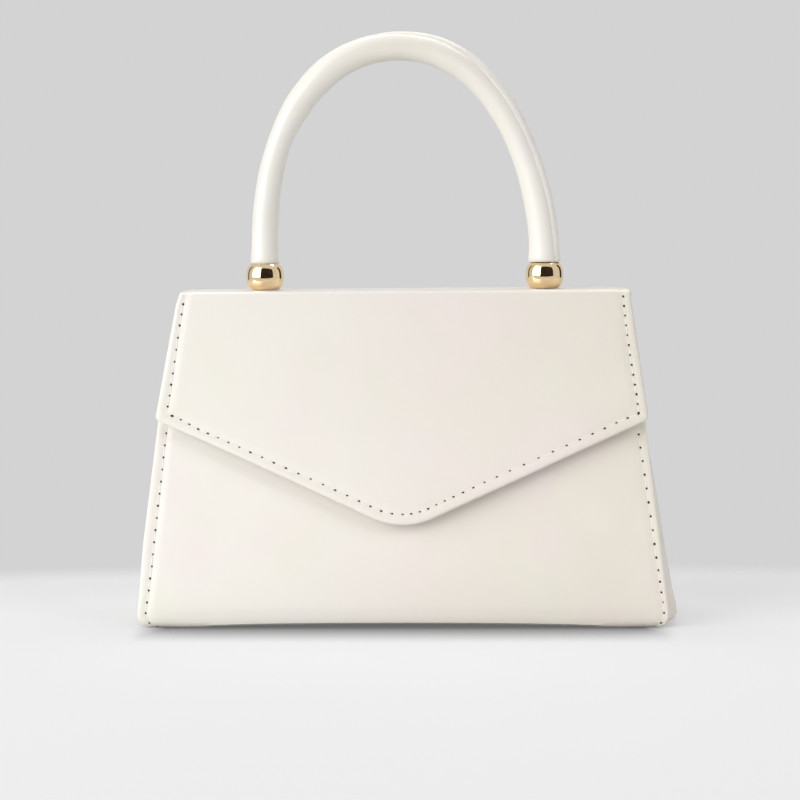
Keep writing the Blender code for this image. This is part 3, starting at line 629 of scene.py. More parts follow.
def sew_hole(shape, centre, up, run, radius, stretch):
    """A needle hole: a shallow funnel painted dark as the hole's shade, longer along the seam."""
    side = run.cross(up).normalized()
    rim = []
    for step in range(HOLE_POINTS):
        angle = math.tau * step / HOLE_POINTS
        rim.append((run * math.cos(angle) * stretch + side * math.sin(angle)) * radius)
    lift = up * HOLE_LIFT
    rows = [[centre + (lift + r) * (1 - share) for r in rim] for share in (0, 0.35, 0.7)]
    grid(rows, wrap=True, shape=shape)
    shape.verts.ensure_lookup_table()
    shape.faces.new(shape.verts[-HOLE_POINTS:])


def seam(name, line, body, spots, shaped=lambda spot: SIDE_HOLE):
    """A row of stitches along a line on the leather: its threads and its needle holes.

    Shaped gives a hole's radius and how much longer it is along the seam.
    """
    threads, holes = bmesh.new(), bmesh.new()
    runs = runs_of(line)
    for start, end in zip(spots, spots[1:]):
        sew_thread(threads, line, runs, start + SIDE_HOLE[0] * 0.5, end - SIDE_HOLE[0] * 0.5)
    for spot in spots:
        centre, up, run = line_at(line, runs, spot)
        radius, stretch = shaped(spot)
        uneven = noise.noise(Vector((spot / STITCH_PITCH * 1.7, line[0][0].x / STRAY_SPAN, 5)))
        centre += run.cross(up).normalized() * HOLE_STRAY * uneven
        sew_hole(holes, centre, up, run, radius * (1 + 0.35 * uneven), stretch)
    pieces = [piece_from(name + "_thread", threads, THREAD)]
    # The holes are dark funnels: painted shade for the inside of each needle hole
    pieces.append(piece_from(name + "_holes", holes, HOLE_SHADE))
    for piece in pieces:
        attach(piece, body)


# Body walls in section: a station is (y, z, inward y, inward z) on the outer face

FOLD_OUT = BASE_DEPTH / 2 - BASE_FOLD


def lean_of(reach):
    in_step = FOLD_OUT - BACK_CREASE.y
    up_step = BACK_CREASE.z - BASE_FOLD
    return math.asin(reach / math.hypot(in_step, up_step)) + math.atan2(in_step, up_step)


FRONT_LEAN = lean_of(BASE_FOLD - ROLL + FLAP_STANDOFF)
BACK_LEAN = lean_of(BASE_FOLD - ROLL)


def half_width(height):
    """Half of the body's width at a height: a straight taper, trimmed round at the base corners."""
    taper = (BASE_WIDTH - TOP_WIDTH) / 2 * height / BODY_HEIGHT
    low = min(1, max(0, 1 - height / CORNER_HEIGHT))
    return BASE_WIDTH / 2 - taper - CORNER_TRIM * low**CORNER_POWER


def half_edge(side, height):
    """Half of the body's width to one side (-1 left, 1 right). The left edge was sewn a little fuller."""
    if side > 0:
        return half_width(height)
    fuller = ease(height, LEFT_FULL_START, LEFT_FULL_RUN) - 1.5 * ease(height, LEFT_TRIM_START, LEFT_TRIM_RUN)
    return half_width(height) + LEFT_SPREAD * (1 + 0.9 * fuller)


def arch_lift(x, height):
    """The base stands on its two ends and bows up between them."""
    across = min(1, abs(x) / (BASE_WIDTH / 2 - CORNER_TRIM - REST_LENGTH))
    return BASE_ARCH * (1 - across**ARCH_POWER) * (1 - smooth(height / ARCH_FADE))


def wall_station(side, height):
    """A point of the front (side -1) or back (side 1) wall at a height."""
    lean = FRONT_LEAN if side < 0 else BACK_LEAN
    inward = Vector((-side * math.cos(lean), -math.sin(lean)))
    start = Vector((side * FOLD_OUT, BASE_FOLD)) - inward * BASE_FOLD
    run = (height - start.y) / math.cos(lean)
    return (start.x - side * run * math.sin(lean), height, inward.x, inward.y)


def fold_station(side, share):
    """A point of the base fold: share 0 is where the wall meets it, and 1 where the base does."""
    lean = FRONT_LEAN if side < 0 else BACK_LEAN
    angle = lean * (1 - share) - math.pi / 2 * share
    out = Vector((side * math.cos(angle), math.sin(angle)))
    spot = Vector((side * FOLD_OUT, BASE_FOLD)) + out * BASE_FOLD
    return (spot.x, spot.y, -out.x, -out.y)


def body_path(front_heights, back_heights, fold_steps, base_steps):
    """Stations from the front's top, round under the base, to the back's top."""
    front = [wall_station(-1, height) for height in front_heights]
    back = [wall_station(1, height) for height in back_heights]
    folds = [[fold_station(side, step / fold_steps) for step in range(fold_steps + 1)] for side in SIDES]
    base = [(FOLD_OUT * (2 * step / base_steps - 1), 0, 0, 1) for step in range(1, base_steps)]
    return front + folds[0] + base + folds[1][::-1] + back


def even_stations(stations, size):
    """The same path with its stations evenly spaced, each about this far from the next."""
    runs = [0]
    for here, after in zip(stations, stations[1:]):
        runs.append(runs[-1] + math.hypot(after[0] - here[0], after[1] - here[1]))
    spaced = []
    for run in steps(0, runs[-1], size):
        index = min(bisect.bisect_right(runs, run), len(runs) - 1)
        share = (run - runs[index - 1]) / (runs[index] - runs[index - 1])
        y, z, in_y, in_z = (a + (b - a) * share for a, b in zip(stations[index - 1], stations[index]))
        reach = math.hypot(in_y, in_z)
        spaced.append((y, z, in_y / reach, in_z / reach))
    return spaced


def hem_stations():
    """The front's top edge, which turns in over its board and runs down inside."""
    y, z, in_y, in_z = wall_station(-1, MOUTH_HEIGHT)
    inward = Vector((in_y, in_z))
    up = Vector((-in_z, in_y))
    radius = BOARD_DEPTH + BOARD / 2
    top = Vector((y, z)) + inward * radius
    stations = []
    for step in range(13):
        angle = math.pi * step / 12
        out = -inward * math.cos(angle) + up * math.sin(angle)
        spot = top + out * radius
        stations.append((spot.x, spot.y, -out.x, -out.y))
    for depth in steps(0, HEM_DEPTH, HEM_STEP)[1:]:
        low = top + inward * radius - up * depth
        stations.append((low.x, low.y, -inward.x, -inward.y))
    return stations[::-1]


def corner_push(station, x):
    """How far the base fold stands out at the bag's corners, where the boards push it square."""
    in_y, in_z = station[2:]
    if in_z <= 0:
        return 0
    power = 8 - 3.5 * ease(abs(x), CORNER_SQUARE_START, CORNER_SQUARE_RUN)
    return BASE_FOLD * ((abs(in_y) ** power + in_z**power) ** (-1 / power) - 1)


def on_body(station, x, height):
    """The point across a station of the body at this height over its outer face."""
    y, z, in_y, in_z = station
    reach = height + corner_push(station, x)
    return Vector((x, y - in_y * reach, z - in_z * reach + arch_lift(x, z)))


# Turned edges: a profile is pairs of (distance in from the edge, height over the outer face)

def seam_relief(distance, inset, drawn=0.0):
    """Leather near a seam: pulled down past the board, crowned beside the stitches, drawn in at the holes."""
    pinch = SEAM_PINCH * (1 - smooth((distance - inset) / PINCH_RUN))
    groove = GROOVE_DEPTH * bell(distance - inset, GROOVE_WIDTH)
    dimple = PUCKER_DEPTH * drawn * bell(distance - inset, PUCKER_REACH)
    crown = (0.6 - 0.3 * drawn) * SEAM_PINCH * bell(distance - inset * 0.5, inset * 0.3)
    return crown - pinch - groove - dimple


def edge_profile(inset, roll, hem, drawn):
    """From the sheet's flat out to its edge, round a roll and back in under it by the hem."""
    reach = inset + PINCH_RUN
    spread = [reach + (roll - reach) * step / EDGE_ROWS for step in range(EDGE_ROWS + 1)]
    profile = [(d, seam_relief(d, inset, drawn)) for d in spread]
    low = seam_relief(roll, inset, drawn)
    for step in range(1, 9):
        angle = math.pi * step / 8
        profile.append((roll - roll * math.sin(angle), low - roll * (1 - math.cos(angle))))
    profile += [(roll + hem * share, low - 2 * roll) for share in (0.3, 0.65, 1)]
    return profile


def drift(x, z, seed):
    """The slight unevenness of leather that is glued to board."""
    wide = noise.noise(Vector((x / WIDE_DRIFT[0], z / WIDE_DRIFT[1], seed)))
    fine = noise.noise(Vector((x / FINE_DRIFT[0], z / FINE_DRIFT[1], seed + 3)))
    return DRIFT * (wide + 0.4 * fine)


# Body leather

def edge_stretch(height):
    """How much wider an inset is when it is measured across, where the body's edge slants."""
    slope = (half_width(height + SLOPE_RISE) - half_width(height)) / SLOPE_RISE
    return min(1.7, math.hypot(1, slope))


def wall_drift(station, x):
    side = 1 if station[0] < 0 else -1
    return smooth(station[1] / ARCH_FADE) * drift(x, station[1] * side, 1.0)


def body_inset(side, height):
    return keyed(height / MM, BODY_INSETS[side]) * MM


def body_row(station, halves, drawn=(0.0, 0.0)):
    """Points across the body at one station, from the right edge's hem to the left one's."""
    stretch = edge_stretch(station[1])
    edges = {}
    for side, half, pull in zip(SIDES, halves, drawn):
        profile = edge_profile(body_inset(side, station[1]), BODY_EDGE_ROLL, BODY_HEM, pull)
        edges[side] = [(side * (half - d * stretch), h) for d, h in profile]
    first, last = edges[1][0][0], edges[-1][0][0]
    count = 56
    inner = [first + (last - first) * step / count for step in range(1, count)]
    flat = [(x, wall_drift(station, x) * smooth(min(first - x, x - last) / DRIFT_FADE)) for x in inner]
    return [on_body(station, x, h) for x, h in edges[1][::-1] + flat + edges[-1]]


def body_stations():
    front = [MOUTH_HEIGHT, ARCH_FADE]
    return even_stations(body_path(front, [ARCH_FADE, BACK_JOIN], 24, 2), SEAM_STEP)


def body_seam_line(stations, side):
    """Where the stitches lie beside one edge of the body."""
    line = []
    for station in stations:
        inset = body_inset(side, station[1])
        x = side * (half_edge(side, station[1]) - inset * edge_stretch(station[1]))
        out = Vector((0, -station[2], -station[3]))
        line.append((on_body(station, x, seam_relief(inset, inset)), out))
    return line


def body_seam_spots(line, side):
    """Needle holes down the front, closer at the base, and up the back."""
    runs = runs_of(line)
    fold_runs = [run for run, (point, _) in zip(runs, line) if point.z > BASE_FOLD * 1.35]
    base_start = max(run for run in fold_runs if run < runs[-1] / 2)
    base_end = min(run for run in fold_runs if run > runs[-1] / 2)
    spots = sewn_spots(SEAM_START, base_start, FRONT_PITCHES[side])
    spots += sewn_spots(base_start, base_end, BASE_PITCHES)[1:]
    return spots + sewn_spots(base_end, runs[-1], BACK_PITCHES)[1:]


def make_body_leather():
    """Front, base and back in one piece, with the front's top edge turned in over its board."""
    hem = hem_stations()
    narrow = HEM_INSET / half_width(MOUTH_HEIGHT)
    rows = []
    for index, station in enumerate(hem[:-1]):
        share = smooth((len(hem) - 1 - index) / 9)
        height = min(station[1], MOUTH_HEIGHT)
        row = body_row(station, [half_edge(side, height) for side in SIDES])
        rows.append([Vector((p.x * (1 - narrow * share), p.y, p.z)) for p in row])
    stations = body_stations()
    lines = [body_seam_line(stations, side) for side in SIDES]
    spots = [body_seam_spots(line, side) for line, side in zip(lines, SIDES)]
    runs = [runs_of(line) for line in lines]
    for index, station in enumerate(stations):
        halves = [half_edge(side, station[1]) for side in SIDES]
        rows.append(body_row(station, halves, [pucker(run[index], holes) for run, holes in zip(runs, spots)]))
    piece = piece_from("body_leather", grid(rows), LEATHER)
    thicken(piece)
    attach(piece, "body")
    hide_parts("body_outer")
    for line, holes, word in zip(lines, spots, WORDS):
        seam("side_seam_" + word, line, "body", holes)


def sew_mouth():
    """Stitches along the front's turned top edge."""
    station = wall_station(-1, MOUTH_HEIGHT - MOUTH_SEAM_DROP)
    out = Vector((0, -station[2], -station[3]))
    span = 0.93 * TOP_HALF
    line = [(on_body(station, x, wall_drift(station, x)), out) for x in steps(-span, span, LINE_STEP)]
    seam("mouth_seam", line, "body", steps(0, 2 * span, STITCH_PITCH))


# Leather over the back crease

def back_crease_station(turned):
    """Round the back crease: turned 0 faces as the back wall does, and 1 straight up."""
    angle = BACK_LEAN + (math.pi / 2 - BACK_LEAN) * turned
    out = Vector((math.cos(angle), math.sin(angle)))
    spot = Vector((BACK_CREASE.y, BACK_CREASE.z)) + out * ROLL
    return (spot.x, spot.y, -out.x, -out.y)


def make_back_crease():
    """The back's top, the crease and the back of the top panel."""
    low = back_crease_station(0)[1]
    stations = [wall_station(1, height) for height in steps(BACK_JOIN, low - CREASE_GAP, CREASE_STEP)]
    stations += [back_crease_station(step / 10) for step in range(11)]
    stations += [(y, BODY_HEIGHT, 0, -1) for y in steps(BACK_CREASE.y, PANEL_JOIN, PANEL_STEP)[1:]]
    rows = []
    for station in stations:
        share = smooth((station[1] - BACK_JOIN) / (BODY_HEIGHT - BACK_JOIN))
        halves = [half_edge(side, station[1]) * (1 - share) + TOP_HALF * share for side in SIDES]
        rows.append(body_row(station, halves))
    piece = piece_from("back_crease_leather", grid(rows), LEATHER)
    thicken(piece)
    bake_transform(piece)


# Top panel and flap leather, in its flat cut: x across, and down the flap from its crease

FLAP_OUT = Vector((0, -math.cos(FRONT_LEAN), math.sin(FRONT_LEAN)))
FLAP_DOWN = Vector((0, -math.sin(FRONT_LEAN), -math.cos(FRONT_LEAN)))
ROLL_TURN = math.pi / 2 - FRONT_LEAN
ROLL_ARC = ROLL * ROLL_TURN
PANEL_ROWS = [-ROLL_ARC - back for back in steps(PANEL_JOIN - FRONT_CREASE.y, 0, HEM_STEP)]
ROLL_ROWS = [-ROLL_ARC * (1 - step / 10) for step in range(1, 11)] + [CREASE_GAP]


def cover_normal(down):
    turn = FRONT_LEAN + min(max(-down, 0) / ROLL, ROLL_TURN)
    return Vector((0, -math.cos(turn), math.sin(turn)))


def on_cover(x, down, height):
    """The point of the bent cover for a point of its flat cut, this high over its outer face."""
    out = cover_normal(down)
    bent = 0 < -down <= ROLL_ARC
    reach = max(ROLL + height, LEAST_BEND) if bent else ROLL + height
    point = FRONT_CREASE + Vector((x, 0, 0)) + out * reach
    if down > 0:
        return point + FLAP_DOWN * down
    return point + Vector((0, max(0, -down - ROLL_ARC), 0))


def flap_corners():
    """The flap's sharp corners from the left shoulder down to the point and up to the right shoulder."""
    point = FLAP_LENGTH + FLAP_TIP_RADIUS * (1 / math.cos(FLAP_POINT_ANGLE) - 1)
    ear = point - FLAP_EAR_HALF * math.tan(FLAP_POINT_ANGLE)
    left = [Vector((-TOP_HALF, SHOULDER)), Vector((-FLAP_EAR_HALF, ear))]
    right = [Vector((-corner.x, corner.y)) for corner in left[::-1]]
    return left + [Vector((0, point))] + right


def flap_edge(inset):
    """The flap's edge moved in by an inset.

    It has as many points at every inset, so edges at two insets can be joined.
    """
    corners = flap_corners()
    radii = [0, max(FLAP_EAR_RADIUS - inset, LEAST_EAR_RADIUS + 0.25 * inset), FLAP_TIP_RADIUS - inset]
    radii = radii + radii[1::-1]
    sides = [(after - here).normalized() for here, after in zip(corners, corners[1:])]
    inward = [Vector((side.y, -side.x)) for side in sides]
    points = [corners[0] + Vector((inset, 0))]
    for index in range(1, 4):
        before, after = inward[index - 1], inward[index]
        sharp = corners[index] + (before + after) * inset / (1 + before.dot(after))
        turn = sides[index - 1].angle(sides[index])
        entry = sharp - sides[index - 1] * radii[index] * math.tan(turn / 2)
        first = points[-1]
        count = FLAP_RUNS[index - 1]
        points += [first.lerp(entry, step / count) for step in range(1, count + 1)]
        centre = entry + before * radii[index]
        arm = entry - centre
        for step in range(1, FLAP_TURNS[index] + 1):
            spin = -turn * step / FLAP_TURNS[index]
            cos, sin = math.cos(spin), math.sin(spin)
            points.append(centre + Vector((arm.x * cos - arm.y * sin, arm.x * sin + arm.y * cos)))
    last = corners[-1] - Vector((inset, 0))
    first = points[-1]
    return points + [first.lerp(last, step / FLAP_RUNS[3]) for step in range(1, FLAP_RUNS[3] + 1)]


UPPER_ROWS = PANEL_ROWS + ROLL_ROWS
LEFT_EAR = len(UPPER_ROWS) + FLAP_RUNS[0] + FLAP_TURNS[1] // 2
TIP_START = LEFT_EAR + FLAP_TURNS[1] // 2 + FLAP_RUNS[1]
TIP_END = TIP_START + FLAP_TURNS[2]
TIP_MIDDLE = (TIP_START + TIP_END) // 2
RIGHT_EAR = TIP_END + FLAP_RUNS[2] + FLAP_TURNS[3] // 2
COVER_COUNT = RIGHT_EAR + FLAP_TURNS[3] // 2 + FLAP_RUNS[3] + 1 + len(UPPER_ROWS)
FLAP_SEAM_START = len(UPPER_ROWS) + 1


def as_cut(point):
    """Moves a flat point of the cover to where this flap's hand-cut edge has it."""
    x, down = point
    if x < 0:
        far = min(1, -x / FLAP_EAR_HALF) ** 6
        run = min(1, max(0, (down - WIDE_START) / WIDE_RUN))
        fold = (1 - ease(down, NOTCH_END, NOTCH_EASE)) * (1 - ease(-down, NOTCH_BACK, NOTCH_BACK_EASE))
        x += far * (NOTCH * fold - FULLER * smooth(down / FULLER_RUN))
        x -= far * WIDE * (1 - (1 - run) ** 2)
        down -= SHORT * run * min(1, -x / FLAP_EAR_HALF)
    return Vector((x, down))


def cover_edge(inset):
    """The cover's whole edge at an inset: the panel's left side, the flap's edge, the panel's right side."""
    left = [Vector((inset - TOP_HALF, down)) for down in UPPER_ROWS]
    right = [Vector((TOP_HALF - inset, down)) for down in UPPER_ROWS[::-1]]
    return [as_cut(point) for point in left + flap_edge(inset) + right]


COVER_EDGES = [cover_edge(TABLE_STEP * step) for step in range(TABLE_ROWS)]


def cover_flat(index, inset):
    """A point of the cover's edge moved in by an inset."""
    low = min(int(inset / TABLE_STEP), len(COVER_EDGES) - 2)
    return COVER_EDGES[low][index].lerp(COVER_EDGES[low + 1][index], inset / TABLE_STEP - low)


# How far in from the flap's edge the stitches run, in mm, at points of the edge
FLAP_INSETS = (
    (0, 3.0), (len(UPPER_ROWS), 3.0), (LEFT_EAR - 4, 3.9), (LEFT_EAR, 3.9), (LEFT_EAR + 5, 4.1),
    (LEFT_EAR + 17, 3.4), (TIP_START - 4, 3.9), (TIP_MIDDLE, 4.1), (TIP_END + 20, 4.3), (RIGHT_EAR - 8, 3.9),
    (RIGHT_EAR, 3.4), (COVER_COUNT - len(UPPER_ROWS) - 40, 3.6), (COVER_COUNT, 3.0),
)


def flap_inset(index):
    return keyed(index, FLAP_INSETS) * MM


def cover_drift(point):
    return ease(point.y, FLAP_DRIFT_START, FLAP_DRIFT_RUN) * drift(point.x, point.y, 9.0)


def flap_seam_line():
    """Where the stitches lie, from the left shoulder round the point to the right one."""
    line = []
    for index in range(FLAP_SEAM_START, COVER_COUNT - len(UPPER_ROWS) + 1):
        inset = flap_inset(index)
        point = cover_flat(index, inset)
        height = seam_relief(inset, inset) + smooth(inset / (inset + PINCH_RUN)) * cover_drift(point)
        line.append((on_cover(point.x, point.y, height), FLAP_OUT))
    return line


def flap_seam_spots(line):
    """Needle holes in four runs: down the left side, to the point, up to the right ear and up its side."""
    runs = runs_of(line)
    left, tip, right = (runs[index - FLAP_SEAM_START] for index in (LEFT_EAR, TIP_MIDDLE, RIGHT_EAR))
    turned = left + LEFT_TURN[1]
    spots = sewn_spots(FLAP_LEFT_START, left - LEFT_TURN[0], FLAP_LEFT_PITCHES)
    spots += sewn_spots(turned, tip, POINT_LEFT_PITCHES)
    spots += sewn_spots(tip, right, POINT_RIGHT_PITCHES)[1:]
    spots += sewn_spots(right, runs[-1], FLAP_RIGHT_PITCHES)[1:]
    return spots, (turned, right)


def flap_hole(corners, spot):
    if min(abs(spot - corner) for corner in corners) < CORNER_NEAR:
        return CORNER_HOLE
    return POINT_HOLE if corners[0] < spot < corners[1] else SIDE_HOLE


def between_edges(edge, left_end, right_end, top):
    """Rows of flat points that fill an edge, from side to side and down to its pointed bottom."""
    left, bottom, right = edge[: left_end + 1], edge[left_end : right_end + 1], edge[right_end:][::-1]
    width = bottom[-1].x - bottom[0].x
    shares = [(point.x - bottom[0].x) / width for point in bottom]
    rows = []
    for here, there in zip(left, right):
        down = max(0, (here.y - left[top].y) / (left[-1].y - left[top].y))
        row = []
        for share, low in zip(shares, bottom):
            point = here.lerp(there, share)
            point.y += down * (low.y - bottom[0].y - (bottom[-1].y - bottom[0].y) * share)
            row.append(point)
        rows.append(row)
    return rows


def make_flap_leather():
    """Top panel and flap in one piece, its edges turned under and stitched."""
    line = flap_seam_line()
    runs = runs_of(line)
    spots, corners = flap_seam_spots(line)
    columns = []
    for index in range(COVER_COUNT):
        inset = flap_inset(index)
        sewn = 0 <= index - FLAP_SEAM_START < len(runs)
        drawn = pucker(runs[index - FLAP_SEAM_START], spots) if sewn else 0
        column = []
        for distance, height in edge_profile(inset, FLAP_EDGE_ROLL, FLAP_HEM, drawn):
            point = cover_flat(index, distance)
            rise = smooth(distance / (inset + PINCH_RUN)) * cover_drift(point)
            column.append(on_cover(point.x, point.y, height + rise))
        columns.append(column[::-1])
    shape = grid([list(row) for row in zip(*columns)])
    core = [cover_flat(index, flap_inset(index) + PINCH_RUN) for index in range(COVER_COUNT)]
    sheet = between_edges(core, LEFT_EAR, RIGHT_EAR, len(UPPER_ROWS))
    grid([[on_cover(p.x, p.y, cover_drift(p)) for p in row[::-1]] for row in sheet], shape=shape)
    piece = piece_from("flap_leather", welded(shape), LEATHER)
    thicken(piece)
    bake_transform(piece)
    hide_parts("top_outer", "flap_outer")
    seam("flap_seam", line, "flap", spots, lambda spot: flap_hole(corners, spot))


# Gussets

def gusset_crease(side, height):
    """The centre crease: outside the body's edge low down, and folded in at the mouth."""
    fold = GUSSET_FOLD * (height / MOUTH_HEIGHT) ** 4.5
    out = GUSSET_BULGES[side] - GUSSET_TAPER * height - fold
    front, back = wall_station(-1, height), wall_station(1, height)
    return Vector((half_width(height) + out, (front[0] + back[0]) / 2, height))


def gusset_rows(side, lift, flange=True):
    """Rows from the seam in to the centre crease, one for each station round the U of the seam.

    Lift is how far inside the gusset's outer face the rows lie.
    """
    top = MOUTH_HEIGHT - GUSSET_DROP
    heights = steps(top, GUSSET_FAN, GUSSET_STEP)
    rows = []
    for station in body_path(heights, heights[::-1], 8, 16):
        y, z, in_y, in_z = station
        depth = GUSSET_DEPTH - corner_push(station, TOP_HALF)
        crease = gusset_crease(side, max(z, GUSSET_FAN))
        upper = smooth((max(z, GUSSET_FAN) - GUSSET_FAN) / (0.8 * (top - GUSSET_FAN)))
        start = Vector((half_edge(side, z) - SEAM_ALLOWANCE, y + in_y * depth, z + in_z * depth))
        full = 10 - 6.4 * ease(z, GUSSET_FULL_START, GUSSET_FULL_RUN)
        row = []
        if flange:
            row += [start + Vector((SEAM_ALLOWANCE * share, 0, 0)) for share in (1, 0.66, 0.33)]
        for column in range(GUSSET_COLUMNS + 1):
            share = column / GUSSET_COLUMNS
            curve = (1 - (1 - share) ** full) * (1 - upper) + share**1.7 * upper
            point = start.lerp(crease, share)
            crumple = CRUMPLE * noise.noise(Vector((y, z, share)) / CRUMPLE_SIZE) * math.sin(math.pi * share)
            point.x = start.x + (crease.x - start.x) * curve + crumple - lift
            row.append(point)
        rows.append(row)
    for row in rows:
        for point in row:
            point.z += arch_lift(point.x, point.z)
            point.x *= side
    return rows if side < 0 else [row[::-1] for row in rows]


def make_gussets():
    for side, word in zip(SIDES, WORDS):
        shape = welded(grid(gusset_rows(side, 0)))
        piece = piece_from("gusset_leather_" + word, shape, LEATHER, 60)
        thicken(piece, GUSSET_LEATHER, GUSSET_EDGE)
        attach(piece, "body")
        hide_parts("gusset_" + word)
        shape = welded(grid(gusset_rows(side, GUSSET_CLOTH_DEPTH, flange=False)))
        piece = piece_from("gusset_cloth_" + word, shape, CLOTH, 60)
        thicken(piece, CLOTH_THICKNESS)
        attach(piece, "body")
        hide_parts("gusset_lining_" + word)


# Linings

def cloth_sheet(name, rows, node=None, body=None, thickness=CLOTH_THICKNESS):
    piece = piece_from(name, grid(rows), CLOTH)
    thicken(piece, thickness)
    if node:
        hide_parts(node)
    if body:
        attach(piece, body)
    return piece


def make_body_cloth():
    """The lining's front, base and back. It runs up under the front's hem."""
    front = steps(MOUTH_HEIGHT - HEM_DEPTH + CLOTH_LAP, ARCH_FADE, CLOTH_STEP)
    back = steps(ARCH_FADE, BACK_CLOTH_TOP, CLOTH_STEP)
    rows = []
    for station in body_path(front, back, 8, 12):
        half = half_width(station[1]) - LINING_INSET
        row = []
        for step in range(49):
            x = half * (1 - step / 24)
            slack = SLACK * noise.noise(Vector((x, station[0], station[1])) / SLACK_SIZE)
            row.append(on_body(station, x, slack - LINING_DEPTH - CLOTH_GAP))
        rows.append(row)
    cloth_sheet("body_cloth", rows, "body_lining", "body", THIN_CLOTH)


def make_pocket():
    """A slip pocket sewn to the back lining on three sides, with a turned hem at its open top."""
    rows = []
    heights = steps(0, 1, 1 / 24) + [1.008, 1.004, 0.97]
    for index, up in enumerate(heights):
        station = wall_station(1, POCKET_BOTTOM + POCKET_HEIGHT * up)
        behind = min(1, max(0, index - 24)) * POCKET_HEM_GAP
        row = []
        for step in range(41):
            across = 1 - step / 20
            puff = POCKET_PUFF * (1 - across**6) * math.sin(math.pi / 2 * min(1, up)) + POCKET_LIFT
            puff += SLACK * noise.noise(Vector((across * 3, up * 3, 2))) * (1 - across**4)
            row.append(on_body(station, POCKET_HALF * across, -(POCKET_DEPTH + puff - behind)))
        rows.append(row)
    cloth_sheet("pocket_cloth", rows, "slip_pocket", "body", POCKET_CLOTH)
    for name, pairs in (
        ("pocket_left_seam", [(-1, up) for up in steps(1, 0, 0.1)]),
        ("pocket_base_seam", [(across, 0) for across in steps(-1, 1, 0.1)]),
        ("pocket_right_seam", [(1, up) for up in steps(0, 1, 0.1)]),
    ):
        line = []
        for across, up in pairs:
            height = POCKET_BOTTOM + POCKET_SEAM_INSET + (POCKET_HEIGHT - POCKET_SEAM_DROP) * up
            station = wall_station(1, height)
            point = on_body(station, (POCKET_HALF - POCKET_SEAM_INSET) * across, -POCKET_SEAM_DEPTH)
            line.append((point, Vector((0, station[2], station[3]))))
        seam(name, line, "body", steps(0, runs_of(line)[-1], POCKET_PITCH))


def make_top_cloth():
    """The top panel's lining: flat under the board, drawn up to the turned edges at its sides."""
    rows = []
    for y in steps(-TOP_CLOTH_REACH, TOP_CLOTH_REACH, TOP_CLOTH_STEP):
        row = []
        for step in range(-40, 41):
            x = TOP_CLOTH_HALF * step / 40
            rise = TOP_CLOTH_RISE * (1 - smooth((TOP_CLOTH_HALF - abs(x)) / TOP_CLOTH_STEP))
            row.append(Vector((x, y, TOP_CLOTH_HEIGHT + rise)))
        rows.append(row)
    cloth_sheet("top_cloth", rows, "top_lining", "top")


def make_flap_cloth():
    """The flap's lining, sewn down over the turned edge of the leather."""
    first = len(UPPER_ROWS)
    edge = [cover_flat(index, CLOTH_INSET) for index in range(first, COVER_COUNT - first)]
    rows = []
    for row in between_edges(edge, LEFT_EAR - first, RIGHT_EAR - first, 0)[::2]:
        rows.append([on_cover(point.x, max(point.y, CLOTH_START), -FLAP_CLOTH_DEPTH) for point in row])
    cloth_sheet("flap_cloth", rows, "flap_lining", "flap")


def make_crease_cloths():
    """Strips of lining that bridge the inside of each crease."""
    flap_side = on_cover(0, CLOTH_START, -FLAP_CLOTH_DEPTH)
    panel_side = Vector((0, -TOP_CLOTH_REACH, TOP_CLOTH_HEIGHT))
    wall_side = on_body(wall_station(1, BACK_CLOTH_TOP), 0, -LINING_DEPTH - CLOTH_GAP)
    back_side = Vector((0, TOP_CLOTH_REACH, TOP_CLOTH_HEIGHT))
    for name, start, end, bodies, turn in (
        ("front_crease_cloth", panel_side, flap_side, ("top", "flap"), 1),
        ("back_crease_cloth", wall_side, back_side, ("body", "top"), -1),
    ):
        columns = [turn * TOP_CLOTH_HALF * step / 12 for step in range(-12, 13)]
        rows = [[start.lerp(end, step / 14) + Vector((x, 0, 0)) for x in columns] for step in range(15)]
        piece = cloth_sheet(name, rows, thickness=THIN_CLOTH)
        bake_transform(piece)


# Handle and beads

def handle_spot(share):
    """A point of the handle's centreline, from its left foot (share 0) to its right one. It leans left."""
    angle = math.pi * (1 - share)
    across, up = math.cos(angle), math.sin(angle)
    x = math.copysign(abs(across) ** (2 / HANDLE_POWER), across) * POST_HALF
    rise = abs(up) ** (2 / HANDLE_POWER)
    return Vector((x - HANDLE_LEAN * smooth(1.5 * rise), 0, HANDLE_FOOT + rise * HANDLE_RISE))


def handle_radius(share, around):
    """The sleeve's radius at an angle from its seam: a valley, with a narrow lip on its outer side."""
    if around > math.pi:
        valley = math.exp((around - math.tau) / 0.09)
        lip = bell(around - math.tau + 0.42, 0.3)
    else:
        valley = math.exp(-around / 0.3)
        lip = 0
    wave = noise.noise(Vector((math.cos(around) * 1.5, math.sin(around) * 1.5, share * 24)))
    body = keyed(share, HANDLE_RADII) * MM
    flare = FLARE * (1 - smooth(min(share, 1 - share) / 0.02))
    return body + flare + SLEEVE_WAVE * wave + LIP * lip - VALLEY * valley


def handle_rings(first, last, turns, radius_of):
    """Rings of points along the handle, each turned with the sleeve's seam."""
    front = Vector((0, -1, 0))
    rows = []
    for share in steps(first, last, 0.005):
        centre = handle_spot(share)
        run = handle_spot(min(1, share + 0.002)) - handle_spot(max(0, share - 0.002))
        outer = front.cross(run).normalized()
        base = math.radians(keyed(share, SEAM_TURNS))
        row = []
        for turn in turns:
            arm = outer * math.cos(base + turn) + front * math.sin(base + turn)
            row.append(centre + arm * radius_of(share, turn))
        rows.append(row)
    return rows


def tube_radius(share, around):
    return keyed(share, HANDLE_RADII) * MM - TUBE_GAP


